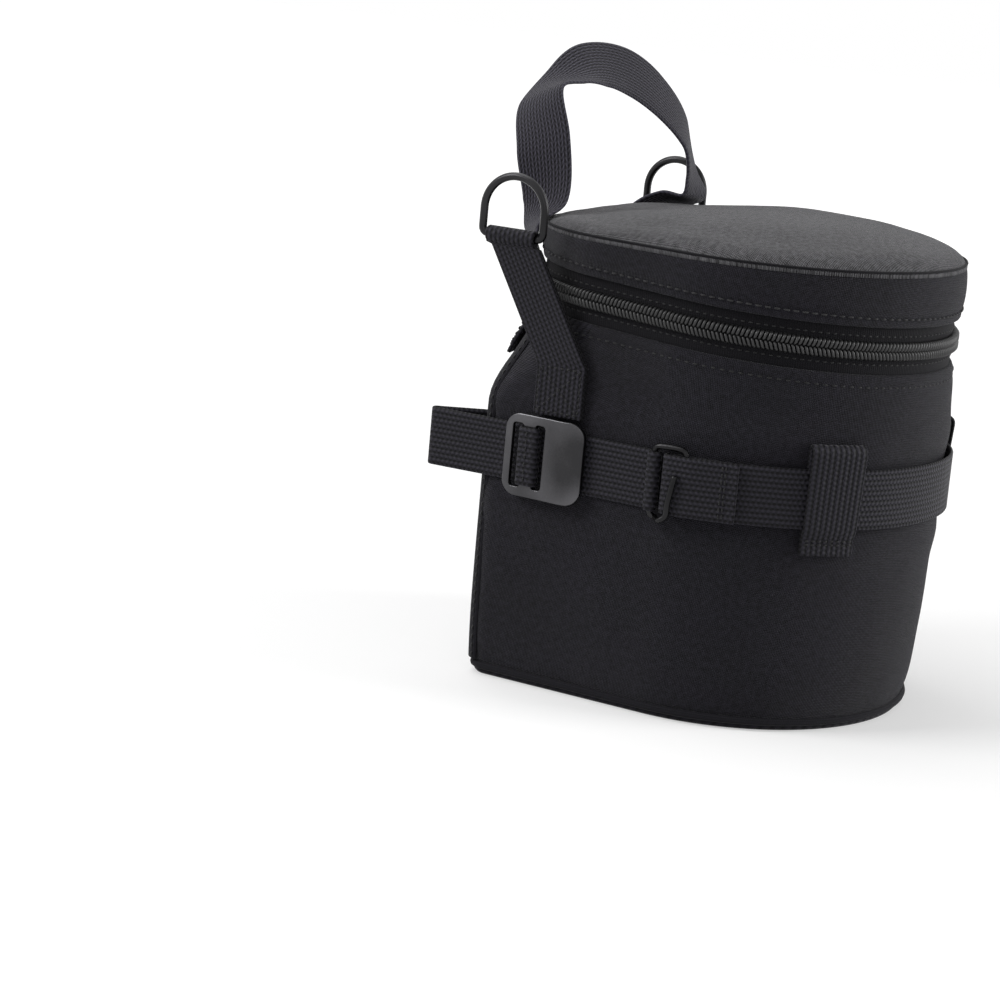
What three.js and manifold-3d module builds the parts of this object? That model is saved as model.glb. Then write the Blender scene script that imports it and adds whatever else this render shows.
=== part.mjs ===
import * as THREE from "three";
import { mergeVertices } from "three/addons/utils/BufferGeometryUtils.js";
import Module from "manifold-3d";

// Padded lens pouch with a zipped lid, a carry handle, two D-rings and a belt that closes with a wire hook.
// Units are millimetres. +X is the pouch's right, +Y its flat back, +Z up.
// The origin lies on the ground under the middle of the base.

// Driving dimensions
const bodyDepth = 152; // back panel to nose
const backWidth = 134; // across the back corners
const noseRadius = 71; // the round nose, half the widest width
const mouthHeight = 137.6; // top fold of the body at mid depth
const zipHeight = 17.3; // body fold to lid fold
const lidDepth = 17; // lid fold to the seam between lid band and lid top, at mid depth
const crownHeight = 6.8; // padded crown above that seam
const mouthSlope = 0.06; // the zip climbs towards the back
const seamSlope = 0.01; // so does the lid seam, a little
const bodyCorner = 8; // back corner radius of the body
const lidCornerShare = 0.2895; // back corner radius of lid and mouth, as a share of the depth
const lidSetback = 1; // lid back behind which the body back stands
const lidOverhang = 1; // lid beyond the body at the sides and nose
const wallBelly = 1.4; // padded wall's swell at mid height
const bellyPower = 4; // how flat that swell is
const noseTuck = 4; // the nose comes in by this much at the base

// Layers of the wall
const fabric = 1.2;
const gap = 0.3; // clearance between sewn layers
const padding = 7;
const lining = 1;
const lidPadding = 5;

// Base
const baseFabric = 2;
const basePad = 6;
const pipingRadius = 1.5;
const pipingInset = 0.9;

// Zip
const tape = 1;
const tapeInset = 0.6;
const coilHeight = 3.2;
const coilHalfGap = 0.15;
const coilProud = 1.3;
const coilDepth = 2.4;
const ribPitch = 5;
const ribRise = 0.6;

// Hinge along the back
const hingeBehind = 1.3; // axis behind the back panel
const hingeBelow = 0; // axis relative to the middle of the zip

// Webbing
const webbing = 1.3;
const beltWidth = 22;
const beltTop = 99.6;
const beltSeat = 0.4; // air between wall and belt
const beltUnderKeeper = 1.8; // belt face off the wall where a keeper layer lies under it
const handleWidth = 22;
const handleWebbing = 1.5;
const keeperWidth = 20;
const tabWidth = 20;
const tabThickness = 2.8;

// D-ring
const ringWire = 3;
const ringInner = 22;
const ringBend = 2.2;
const ringRise = 22;
const ringX = 70.5;
const ringForward = 6; // bar's middle ahead of the back face
const ringBarZ = 168;
const ringPlay = 0.35;

// Ring tab
const tabFootLow = 105;
const tabFootTop = 124;
const tabFootForward = 32.5; // middle of the foot ahead of the back face
const tabFootOff = 2.3; // middle of the tab off the wall at its foot

// Ladder buckle
const buckleLength = 33;
const buckleHeight = 31;
const buckleThickness = 2.2;
const buckleCorner = 6;
const buckleAlong = 36; // centre, measured along the wall from the back corner
const buckleOff = 3.5;
const slotHeight = 24;
const slotCorner = 1;
const backBar = 3;
const backSlot = 4.6;
const middleBar = 5;
const frontSlot = 4;

// Wire hook
const hookWire = 2.2;
const hookAlong = 81;
const hookReach = 12;
const hookTipRise = 15;
const loopPlay = 0.3;

// Belt ends
const foldBehind = 22; // folded end of the left strap behind the back panel
const foldGap = 2.2;
const leftSewn = 20;
const loopFold = 4.4; // fold of the right strap's loop past the left strap's eye
const loopPast = 26; // seam of the right strap's loop past the hook
const loopTurned = 5; // turned end past that seam

// Keepers
const keeperAngle = 44.7; // degrees from the middle of the nose
const keeperTop = 108.5;
const keeperBottom = 68;
const keeperStand = 5.4; // inner face of the outer layer off the wall at the top

// Zip sliders and pulls
const sliderLength = 10;
const sliderWidth = 8.4;
const sliderThickness = 1.6;
const sliderPlay = 0.5;
const rearSliderBehind = 17.5; // behind the middle of the nose arc
const frontSliderAhead = 4.5; // ahead of it
const pullLength = 30;
const pullWidth = 5.4;
const pullThickness = 1.2;
const pullBar = 1.2;
const pullWindow = 4.6;
const pullLean = 4; // degrees by which the rear pull leans on the lid
const bailWire = 1.2;
const bailSpan = 2.6;
const bailRise = 3.2;

// Belt loop on the back
const loopWidth = 50;
const loopTopZ = 118;
const loopBottomZ = 26;
const loopBow = 7;
const loopFabric = 1.8;
const loopHem = 12;

// Handle: places of the strap's middle line as shares of half the back width, of the depth and of its rise,
// then the direction across the strap. The rise is measured from the hinge.
const handleRise = 80;
const handlePlaceShares = [
  [-0.585, 0.491, 0.02],
  [-0.61, 0.493, 0.12],
  [-0.616, 0.505, 0.219],
  [-0.532, 0.496, 0.347],
  [-0.491, 0.524, 0.604],
  [-0.352, 0.572, 0.819],
  [-0.14, 0.555, 0.904],
  [0.07, 0.525, 0.968],
  [0.338, 0.482, 0.937],
  [0.581, 0.436, 0.822],
  [0.745, 0.392, 0.658],
  [0.808, 0.372, 0.463],
  [0.809, 0.357, 0.342],
  [0.791, 0.424, 0.302],
  [0.718, 0.482, 0.189],
  [0.585, 0.491, 0.02],
];
const handleAcrossShares = [
  [0.94, 0.34, 0],
  [0.9, 0.43, 0],
  [0.74, 0.61, -0.27],
  [0.21, 0.96, -0.19],
  [-0.15, 0.91, -0.39],
  [0.13, 0.89, -0.44],
  [0.35, 0.93, 0.07],
  [0.11, 0.74, 0.66],
  [0.49, 0.37, 0.79],
  [0.8, 0.25, 0.55],
  [0.75, 0.4, 0.52],
  [0.95, 0.31, 0.07],
  [1, -0.02, -0.08],
  [0.93, 0.03, -0.38],
  [0.82, -0.15, -0.55],
  [0.94, -0.34, 0],
];

// Steps round the arcs
const cornerSteps = 6;
const noseSteps = 24;
const wireSides = 6;
const eyeSteps = 8;
const foldSteps = 4;
const keeperSteps = 4;
const ringSteps = 12;
const bailSteps = 6;
const bailRings = 10;

const backY = bodyDepth / 2;
const noseY = noseRadius - backY; // centre of the nose arc
const lidCorner = bodyDepth * lidCornerShare;
const seamHeight = mouthHeight + zipHeight + lidDepth;
const ringY = backY - ringForward;
const tabFootY = backY - tabFootForward;
const rearSliderY = noseY + rearSliderBehind;
const frontSliderY = noseY - frontSliderAhead;
const loopSewn = hookAlong + loopPast;
const loopEnd = loopSewn + loopTurned;
const midZip = mouthHeight + zipHeight / 2;
const hingeY = backY + hingeBehind;
const hingeZ = midZip + mouthSlope * backY + hingeBelow;
const lerp = THREE.MathUtils.lerp;
const wasm = await Module();
wasm.setup();

const fabricBlack = { color: 0x1d1c1f, roughness: 0.9, metalness: 0 };
const fabricLid = { color: 0x2b2a2d, roughness: 0.9, metalness: 0 };
const webbingBlack = { color: 0x232226, roughness: 0.8, metalness: 0 };
const liningGrey = { color: 0x3a3a3e, roughness: 0.95, metalness: 0 };
const foamGrey = { color: 0x4a4a4c, roughness: 1, metalness: 0 };
const zipBlack = { color: 0x161618, roughness: 0.45, metalness: 0 };
const gunmetal = { color: 0x3b3d40, roughness: 0.35, metalness: 0.9 };

// Triangles over the flat or nearly flat ring of points, turned as the ring runs.
function capTriangles(ring) {
  const normal = new THREE.Vector3();
  ring.forEach((p, i) => {
    const q = ring[(i + 1) % ring.length];
    normal.x += (p.y - q.y) * (p.z + q.z);
    normal.y += (p.z - q.z) * (p.x + q.x);
    normal.z += (p.x - q.x) * (p.y + q.y);
  });
  normal.normalize();
  const side = Math.abs(normal.z) < Math.SQRT1_2 ? new THREE.Vector3(0, 0, 1) : new THREE.Vector3(1, 0, 0);
  const u = new THREE.Vector3().crossVectors(side, normal).normalize();
  const v = new THREE.Vector3().crossVectors(normal, u);
  const flat = ring.map((p) => new THREE.Vector2(p.dot(u), p.dot(v)));
  return THREE.ShapeUtils.triangulateShape(flat, []).map(([a, b, c]) => {
    const turn = (flat[b].x - flat[a].x) * (flat[c].y - flat[a].y)
      - (flat[b].y - flat[a].y) * (flat[c].x - flat[a].x);
    return turn > 0 ? [a, b, c] : [a, c, b];
  });
}

// A closed body over rows of rings. Each ring closes on itself.
// The rows close on each other where looped, and otherwise end in caps.
function ringSolid(rings, looped = false) {
  const count = rings[0].length;
  const positions = rings.flat().flatMap((p) => [p.x, p.y, p.z]);
  const triangles = [];
  // Four corners that aren't flat fold along the diagonal that lies further out, so layers stay parallel.
  const points = rings.flat();
  const reach = (a, c) => Math.hypot(points[a].x + points[c].x, points[a].y + points[c].y);
  const rows = looped ? rings.length : rings.length - 1;
  for (let i = 0; i < rows; i += 1) {
    const here = i * count;
    const next = ((i + 1) % rings.length) * count;
    for (let j = 0; j < count; j += 1) {
      const k = (j + 1) % count;
      const [a, b, c, d] = [here + j, here + k, next + k, next + j];
      if (reach(a, c) >= reach(b, d)) triangles.push([a, b, c], [a, c, d]);
      else triangles.push([a, b, d], [b, c, d]);
    }
  }
  if (!looped) {
    const last = (rings.length - 1) * count;
    capTriangles(rings[0]).forEach(([a, b, c]) => triangles.push([a, c, b]));
    capTriangles(rings.at(-1)).forEach(([a, b, c]) => triangles.push([last + a, last + b, last + c]));
  }
  let volume = 0;
  const at = (i) => new THREE.Vector3().fromArray(positions, i * 3);
  triangles.forEach(([a, b, c]) => { volume += at(a).dot(at(b).cross(at(c))); });
  if (volume < 0) triangles.forEach((t) => t.reverse());
  const geometry = new THREE.BufferGeometry();
  geometry.setAttribute("position", new THREE.Float32BufferAttribute(positions, 3));
  geometry.setIndex(triangles.flat());
  geometry.computeVertexNormals();
  return geometry;
}

// The two closed bodies as one.
function join(a, b) {
  const solid = (geometry) => {
    const bare = new THREE.BufferGeometry();
    bare.setAttribute("position", geometry.attributes.position);
    bare.setIndex(geometry.index);
    const merged = mergeVertices(bare);
    return new wasm.Manifold(new wasm.Mesh({
      numProp: 3,
      vertProperties: Float32Array.from(merged.attributes.position.array),
      triVerts: Uint32Array.from(merged.index.array),
    }));
  };
  const mesh = solid(a).add(solid(b)).getMesh();
  const geometry = new THREE.BufferGeometry();
  geometry.setAttribute("position", new THREE.Float32BufferAttribute(mesh.vertProperties, 3));
  geometry.setIndex([...mesh.triVerts]);
  geometry.computeVertexNormals();
  return geometry;
}

function part(name, geometry, look) {
  const mesh = new THREE.Mesh(geometry, new THREE.MeshStandardMaterial({ ...look, flatShading: true }));
  mesh.name = name;
  return mesh;
}

// Plan outline from the back left corner round the nose to the back right corner, moved in by an inset.
// Each station holds its point and its outward direction.
function outline(form, inset) {
  const nose = form.nose - inset;
  const corner = Math.max(form.corner - inset, fabric);
  const dx = form.corner - form.width / 2;
  const dy = form.back - form.corner - form.noseY;
  const span = Math.hypot(dx, dy);
  const turn = Math.atan2(dy, dx) + Math.acos((form.nose - form.corner) / span);
  const nx = Math.cos(turn);
  const ny = Math.sin(turn);
  const cy = form.back - inset - corner;
  const cx = (nose - corner - ny * (cy - form.noseY)) / nx;
  const stations = [];
  const arc = (x, y, radius, from, to, steps, first) => {
    for (let i = first; i <= steps; i += 1) {
      const angle = lerp(from, to, i / steps);
      const normal = new THREE.Vector2(Math.cos(angle), Math.sin(angle));
      stations.push({ p: new THREE.Vector2(x, y).addScaledVector(normal, radius), n: normal });
    }
  };
  const quarter = Math.PI / 2;
  arc(cx, cy, corner, quarter, turn, cornerSteps, 0);
  arc(0, form.noseY, nose, turn, 6 * quarter - turn, noseSteps, 0);
  arc(-cx, cy, corner, 6 * quarter - turn, 5 * quarter, cornerSteps, 0);
  return stations;
}

const bodyForm = { width: backWidth, corner: bodyCorner, nose: noseRadius, noseY, back: backY };
const mouthForm = { ...bodyForm, corner: lidCorner, back: backY - lidSetback };
const lidForm = {
  width: backWidth + 2 * lidOverhang,
  corner: lidCorner + lidOverhang,
  nose: noseRadius + lidOverhang,
  noseY,
  back: backY - lidSetback,
};

// The wall's outline at a share of the mouth height.
// It is swollen in the middle, round at the mouth and tucked in at the base.
const blendStartShare = 0.74;
function wallOutline(share, inset) {
  const round = THREE.MathUtils.smoothstep(share, blendStartShare, 1);
  const swell = wallBelly * (1 - (2 * share - 1) ** bellyPower);
  const form = {
    ...bodyForm,
    corner: lerp(bodyCorner, lidCorner, round),
    back: lerp(backY, backY - lidSetback, round),
  };
  const tuck = noseTuck * (1 - share) ** 2;
  return outline(form, inset - swell).map(({ p, n }) => {
    const ahead = (backY - p.y) / bodyDepth;
    return { p: new THREE.Vector2(p.x, p.y + tuck * ahead ** 2), n };
  });
}

const level = (height, slope = 0) => (p) => height + slope * p.y;
const lift = (stations, z) => stations.map(({ p }) => new THREE.Vector3(p.x, p.y, z(p)));

// Heights of the wall's rings, as shares of the mouth height, from a given foot upward.
const padFoot = baseFabric + gap;
const padTop = padFoot + basePad;
const wallFoot = baseFabric + 2 * pipingRadius + gap;
const wallHeights = [wallFoot, padTop + gap, padTop + gap + lining];
const slopeStartShare = 0.3;
const upperShares = [slopeStartShare, 0.55, 0.74, 0.85, 0.93, 1];
const wallShares = [...wallHeights.map((h) => h / mouthHeight), ...upperShares];
function wallRings(inset, foot, drop) {
  const shares = wallShares.filter((share) => share >= foot / mouthHeight);
  return shares.map((share) => {
    const climb = Math.max(0, share - slopeStartShare) / (1 - slopeStartShare);
    return lift(wallOutline(share, inset), level(mouthHeight * share - drop * climb, mouthSlope * climb));
  });
}

// The sewn seam between side wall and back panel runs down the middle of each back corner.
const seamStep = 3;

// A length of the wall between two stations, as a list of station numbers. Both ends stay clear of the seam.
function wallLength(inset, thickness, foot, stations) {
  const outer = wallRings(inset, foot, 0);
  const inner = wallRings(inset + thickness, foot, 0);
  const at = (row, i, toward) => {
    const p = row[stations[i]];
    if (toward === undefined) return p;
    const q = row[stations[toward]];
    return p.clone().lerp(q, gap / 2 / p.distanceTo(q));
  };
  return ringSolid(stations.map((_, i) => {
    const toward = i === 0 ? 1 : i === stations.length - 1 ? i - 1 : undefined;
    return [...outer.map((row) => at(row, i, toward)), ...inner.map((row) => at(row, i, toward)).reverse()];
  }));
}

function outerWall() {
  const last = wallOutline(0, 0).length - 1;
  const stations = Array.from({ length: last + 1 - 2 * seamStep }, (_, i) => i + seamStep);
  return wallLength(0, fabric, wallFoot, stations);
}

function backPanel() {
  const last = wallOutline(0, 0).length - 1;
  const stations = [];
  for (let i = last - seamStep; i <= last; i += 1) stations.push(i);
  for (let i = 0; i <= seamStep; i += 1) stations.push(i);
  return wallLength(0, fabric, wallFoot, stations);
}

// A wall that runs all the way round.
function closedWall(inset, thickness, foot, drop) {
  const outer = wallRings(inset, foot, drop);
  const inner = wallRings(inset + thickness, foot, drop);
  return ringSolid([...outer, ...inner.reverse()], true);
}

// The point at a distance along a row, counted from one of its stations.
function walk(row, start, distance) {
  const step = Math.sign(distance) || 1;
  let i = start;
  let left = Math.abs(distance);
  while (row[i + step] && left > row[i].distanceTo(row[i + step])) {
    left -= row[i].distanceTo(row[i + step]);
    i += step;
  }
  const next = row[i + step] ?? row[i - step];
  return row[i].clone().lerp(next, left / row[i].distanceTo(next));
}

// Tape that covers the sewn edge between wall and back panel.
const bindingWidth = 7;
const bindingThickness = 1;
const bindingSteps = 6;
function edgeBinding(sign) {
  const turned = (rows) => (sign < 0 ? rows : rows.map((row) => [...row].reverse()));
  const near = turned(wallRings(-gap, wallFoot, gap));
  const far = turned(wallRings(-gap - bindingThickness, wallFoot, gap));
  const rings = [];
  for (let k = 0; k <= bindingSteps; k += 1) {
    const distance = bindingWidth * (k / bindingSteps - 0.5);
    const outer = far.map((row) => walk(row, seamStep, distance));
    const inner = near.map((row) => walk(row, seamStep, distance));
    rings.push([...outer, ...inner.reverse()]);
  }
  return ringSolid(rings);
}

// A ring of rectangular section round the outline, between two heights.
function band(form, inset, thickness, low, high, open = false) {
  const outer = outline(form, inset);
  const inner = outline(form, inset + thickness);
  const rings = outer.map((o, i) => [
    ...lift([o], low), ...lift([o], high), ...lift([inner[i]], high), ...lift([inner[i]], low),
  ]);
  return ringSolid(rings, !open);
}

// Points at even spacing along an open run of stations.
function evenly(stations, pitch) {
  const lengths = [0];
  for (let i = 1; i < stations.length; i += 1) {
    lengths.push(lengths[i - 1] + stations[i].p.distanceTo(stations[i - 1].p));
  }
  const total = lengths.at(-1);
  const count = Math.round(total / pitch);
  const found = [];
  for (let k = 0; k <= count; k += 1) found.push(along(stations, lengths, (total * k) / count));
  return found;
}

function along(stations, lengths, distance) {
  let i = 1;
  while (i < stations.length - 1 && lengths[i] < distance) i += 1;
  const t = (distance - lengths[i - 1]) / (lengths[i] - lengths[i - 1]);
  return {
    p: stations[i - 1].p.clone().lerp(stations[i].p, t),
    n: stations[i - 1].n.clone().lerp(stations[i].n, t).normalize(),
  };
}

// One row of the zip's coil: its turns show as ribs along the row.
function coilRow(form, low, high) {
  const rings = [];
  evenly(outline(form, 0), ribPitch / 2).forEach((station, k) => {
    const proud = coilProud - (k % 2) * ribRise;
    const outer = station.p.clone().addScaledVector(station.n, proud);
    const inner = station.p.clone().addScaledVector(station.n, coilProud - coilDepth);
    const at = (q, z) => new THREE.Vector3(q.x, q.y, z(q));
    rings.push([at(outer, low), at(outer, high), at(inner, high), at(inner, low)]);
  });
  return ringSolid(rings);
}

// Lid top: rings that shrink to the middle of the lid while they climb the crown.
const crownShares = [1, 0.93, 0.8, 0.6, 0.35, 0.12];
const crownPower = 2.2;
function crownRing(inset, share, base, rise) {
  const centre = new THREE.Vector2(0, (lidForm.back - backY) / 2);
  return outline(lidForm, inset).map(({ p }) => {
    const q = centre.clone().lerp(p, share);
    return new THREE.Vector3(q.x, q.y, base(q) + rise * (1 - share ** crownPower));
  });
}

function lidTop() {
  const low = level(seamHeight - fabric, seamSlope);
  const high = level(seamHeight, seamSlope);
  const under = [...crownShares].reverse().map((s) => crownRing(0, s, low, crownHeight));
  const over = crownShares.map((s) => crownRing(0, s, high, crownHeight));
  return ringSolid([...under, ...over]);
}

const lidWallInset = fabric + gap;
const lidCeiling = seamHeight - fabric - gap - lidPadding;
function lidPad() {
  const foot = level(mouthHeight + zipHeight + gap, mouthSlope);
  const ceiling = level(lidCeiling, seamSlope);
  const top = level(seamHeight - fabric - gap, seamSlope);
  const inner = outline(lidForm, lidWallInset + lidPadding);
  const outer = outline(lidForm, lidWallInset);
  const crown = crownShares.map((s) => crownRing(lidWallInset, s, top, crownHeight));
  return ringSolid([lift(inner, ceiling), lift(inner, foot), lift(outer, foot), ...crown]);
}

function lidLining() {
  const foot = level(mouthHeight + zipHeight + gap, mouthSlope);
  const top = level(lidCeiling - gap, seamSlope);
  const ceiling = level(lidCeiling - gap - lining, seamSlope);
  const out = outline(lidForm, lidWallInset + lidPadding + gap);
  const inn = outline(lidForm, lidWallInset + lidPadding + gap + lining);
  return ringSolid([lift(inn, ceiling), lift(inn, foot), lift(out, foot), lift(out, top)]);
}

// Round cord or seam roll that follows an outline.
function roll(stations, radius, height) {
  return ringSolid(stations.map(({ p, n }) => Array.from({ length: wireSides }, (_, k) => {
    const angle = (2 * Math.PI * k) / wireSides;
    const q = p.clone().addScaledVector(n, radius * Math.cos(angle));
    return new THREE.Vector3(q.x, q.y, height(p) + radius * Math.sin(angle));
  })), true);
}

// Belt line: the wall's outline at the belt, with arc length.
const beltShare = (beltTop - beltWidth / 2) / mouthHeight;
const beltStations = wallOutline(beltShare, 0);
const beltLengths = [0];
beltStations.forEach((s, i) => {
  if (i > 0) beltLengths.push(beltLengths[i - 1] + s.p.distanceTo(beltStations[i - 1].p));
});
const beltTotal = beltLengths.at(-1);
function onWall(distance, off) {
  const { p, n } = along(beltStations, beltLengths, THREE.MathUtils.clamp(distance, 0, beltTotal));
  return p.addScaledVector(n, off);
}

// Webbing that stands on edge along a plan path.
function ribbon(path, thickness, low, high) {
  const rings = path.map((p, i) => {
    const before = path[Math.max(i - 1, 0)];
    const after = path[Math.min(i + 1, path.length - 1)];
    const a = p.clone().sub(before);
    const b = after.clone().sub(p);
    const direction = a.normalize().add(b.normalize()).normalize();
    const side = new THREE.Vector2(direction.y, -direction.x).multiplyScalar(thickness / 2);
    const outer = p.clone().add(side);
    const inner = p.clone().sub(side);
    return [
      new THREE.Vector3(outer.x, outer.y, low), new THREE.Vector3(outer.x, outer.y, high),
      new THREE.Vector3(inner.x, inner.y, high), new THREE.Vector3(inner.x, inner.y, low),
    ];
  });
  return ringSolid(rings);
}

const beltLow = beltTop - beltWidth;
const beltMiddle = beltSeat + webbing / 2;
const eyeRadius = hookWire / 2 + loopPlay + webbing / 2;
const hookOff = beltMiddle + eyeRadius;

// Left strap: sewn to the back panel, folded behind it, forward along the wall and
// round the hook's closed bar.
function leftStrap() {
  const corner = onWall(0, 0);
  const foldX = -backWidth / 2 - beltMiddle - wallBelly;
  const foldY = backY + foldBehind;
  const half = (foldGap + webbing) / 2;
  const path = [
    new THREE.Vector2(corner.x + leftSewn, backY + wallBelly + beltMiddle + bindingThickness),
    new THREE.Vector2(corner.x + 2 * half, backY + wallBelly + beltMiddle + bindingThickness),
    new THREE.Vector2(foldX + 2 * half, foldY - half),
  ];
  for (let i = 1; i < foldSteps; i += 1) {
    const angle = (Math.PI * i) / foldSteps;
    const x = foldX + half + half * Math.cos(angle);
    path.push(new THREE.Vector2(x, foldY - half + half * Math.sin(angle)));
  }
  path.push(new THREE.Vector2(foldX, foldY - half));
  const start = beltLengths[cornerSteps];
  const end = hookAlong - eyeRadius;
  const between = beltLengths.filter((distance) => distance > start + webbing && distance < end - webbing);
  [start, ...between, end].forEach((distance) => path.push(onWall(distance, beltMiddle)));
  for (let i = 0; i < eyeSteps; i += 1) {
    const angle = (1.5 * Math.PI * i) / (eyeSteps - 1) - Math.PI / 2;
    path.push(onWall(hookAlong + eyeRadius * Math.cos(angle), hookOff + eyeRadius * Math.sin(angle)));
  }
  return ribbon(path, webbing, beltLow, beltTop);
}

// Right strap: from the back right corner round the nose to a loop on the left side,
// folded out and sewn down.
function noseStrap() {
  const foldAt = hookAlong + eyeRadius + loopFold;
  const keeperOff = beltUnderKeeper + webbing / 2;
  const path = [];
  const lastSewn = keeperOff + webbing + gap;
  path.push(onWall(loopEnd, lastSewn), onWall(loopSewn, lastSewn));
  path.push(onWall(hookAlong + hookReach + eyeRadius, hookOff + eyeRadius));
  for (let i = 0; i <= eyeSteps / 2; i += 1) {
    const angle = Math.PI / 2 + (Math.PI * i) / (eyeSteps / 2);
    path.push(onWall(foldAt + eyeRadius * Math.cos(angle), hookOff + eyeRadius * Math.sin(angle)));
  }
  path.push(onWall(hookAlong + hookReach + eyeRadius, beltMiddle), onWall(loopSewn, keeperOff));
  beltLengths.forEach((distance) => {
    const end = beltTotal - beltLengths[cornerSteps];
    if (distance > loopSewn + webbing && distance <= end) path.push(onWall(distance, keeperOff));
  });
  return ribbon(path, webbing, beltLow, beltTop);
}

// A round wire along a smooth path, with flat ends.
function wire(points, radius, steps) {
  const curve = new THREE.CatmullRomCurve3(points, false, "centripetal");
  const section = new THREE.Shape();
  for (let i = 0; i < wireSides; i += 1) {
    const angle = (2 * Math.PI * i) / wireSides;
    const x = radius * Math.cos(angle);
    const y = radius * Math.sin(angle);
    if (i === 0) section.moveTo(x, y);
    else section.lineTo(x, y);
  }
  return new THREE.ExtrudeGeometry(section, { steps, extrudePath: curve, curveSegments: 1 });
}

// Wire hook: a closed bar in the left strap's eye, a top arch, a long bar and a tip that rises in front.
const hookBend = 2;
const hookSteps = 48;
function wireHook() {
  const low = beltLow - hookBend;
  const high = beltTop + hookBend;
  const front = hookOff + eyeRadius + webbing / 2 + gap + hookWire / 2;
  const far = hookAlong + hookReach;
  const place = (distance, off, z) => {
    const p = onWall(distance, off);
    return new THREE.Vector3(p.x, p.y, z);
  };
  const cutShare = 1 - Math.SQRT1_2;
  const corner = (distance, side, z, end) => [
    place(distance, hookOff, z),
    place(distance + side * cutShare * hookBend, hookOff, lerp(end, z, cutShare)),
    place(distance + side * hookBend, hookOff, end),
  ];
  return wire([
    place(far, hookOff, beltLow + hookBend),
    place(far, hookOff, beltTop - 2 * hookBend),
    ...corner(far, -1, beltTop, high),
    ...corner(hookAlong, 1, beltTop, high).reverse(),
    place(hookAlong, hookOff, beltTop - 2 * hookBend),
    place(hookAlong, hookOff, beltLow + 2 * hookBend),
    ...corner(hookAlong, 1, beltLow, low),
    place(far - 3 * hookBend, front, low),
    place(far - 2 * hookBend, front, beltLow),
    place(far - 2 * hookBend + gap, front, beltLow + 2 * hookBend),
    place(far - hookBend, front, beltLow + hookTipRise),
  ], hookWire / 2, hookSteps);
}

// Keeper: a strip folded over the belt, its two layers sewn together below.
function keeper(sign) {
  const angle = THREE.MathUtils.degToRad(keeperAngle);
  const middle = beltTotal / 2 + sign * noseRadius * angle;
  const inner = beltSeat + webbing / 2;
  const outer = keeperStand + webbing / 2;
  const bottom = beltUnderKeeper + webbing + gap + webbing / 2;
  const radius = (outer - inner) / 2;
  const path = [[inner, keeperBottom], [inner, keeperTop - radius]];
  for (let i = 1; i < eyeSteps / 2; i += 1) {
    const turn = Math.PI - (Math.PI * i) / (eyeSteps / 2);
    path.push([inner + radius + radius * Math.cos(turn), keeperTop - radius + radius * Math.sin(turn)]);
  }
  path.push([outer, keeperTop - radius], [bottom, beltLow], [inner + webbing + gap, beltLow - 3 * webbing]);
  path.push([inner + webbing + gap, keeperBottom]);
  const faces = path.map(([n, z], i) => {
    const before = path[Math.max(i - 1, 0)];
    const after = path[Math.min(i + 1, path.length - 1)];
    const run = new THREE.Vector2(after[0] - before[0], after[1] - before[1]).normalize();
    return { n, z, side: new THREE.Vector2(-run.y, run.x).multiplyScalar(webbing / 2) };
  });
  const section = [
    ...faces.map(({ n, z, side }) => [n + side.x, z + side.y]),
    ...faces.map(({ n, z, side }) => [n - side.x, z - side.y]).reverse(),
  ];
  const rings = [];
  for (let i = 0; i <= keeperSteps; i += 1) {
    const distance = middle + keeperWidth * (i / keeperSteps - 0.5);
    rings.push(section.map(([n, z]) => {
      const p = onWall(distance, n);
      return new THREE.Vector3(p.x, p.y, z);
    }));
  }
  return ringSolid(rings);
}

// Ring tab: webbing sewn to the side wall, folded over the ring's bar. Drawn in x and z, as wide as the tab.
function ringTab(sign) {
  const eye = ringWire / 2 + ringPlay;
  const outer = eye + webbing;
  const footX = Math.abs(onWall(beltLengths[cornerSteps] + backY - tabFootY, tabFootOff).x);
  const shape = new THREE.Shape();
  const half = tabThickness / 2;
  shape.moveTo(footX + half, tabFootLow);
  shape.lineTo(footX + half, tabFootTop);
  const start = Math.asin(half / outer);
  for (let i = 0; i <= 2 * eyeSteps; i += 1) {
    const angle = -Math.PI / 2 + start + ((2 * Math.PI - 2 * start) * i) / (2 * eyeSteps);
    shape.lineTo(ringX + outer * Math.cos(angle), ringBarZ + outer * Math.sin(angle));
  }
  shape.lineTo(footX - half, tabFootTop);
  shape.lineTo(footX - half, tabFootLow);
  const hole = new THREE.Path();
  hole.absarc(ringX, ringBarZ, eye, 0, 2 * Math.PI, true);
  shape.holes.push(hole);
  const settings = { depth: tabWidth, bevelEnabled: false, curveSegments: 8 };
  const geometry = new THREE.ExtrudeGeometry(shape, settings);
  const lean = (ringY - tabFootY) / (ringBarZ - tabFootTop);
  const position = geometry.attributes.position;
  for (let i = 0; i < position.count; i += 1) {
    const x = position.getX(i);
    const z = position.getY(i);
    const across = position.getZ(i) - tabWidth / 2;
    const back = tabFootY + lean * Math.max(Math.min(z, ringBarZ - outer) - tabFootTop, 0);
    const atEye = z > ringBarZ - outer ? ringY : back;
    position.setXYZ(i, sign * x, atEye + across, z);
  }
  if (sign > 0) {
    const array = position.array;
    for (let i = 0; i < array.length; i += 9) {
      for (let k = 0; k < 3; k += 1) {
        const kept = array[i + 3 + k];
        array[i + 3 + k] = array[i + 6 + k];
        array[i + 6 + k] = kept;
      }
    }
  }
  geometry.computeVertexNormals();
  return geometry;
}

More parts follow.
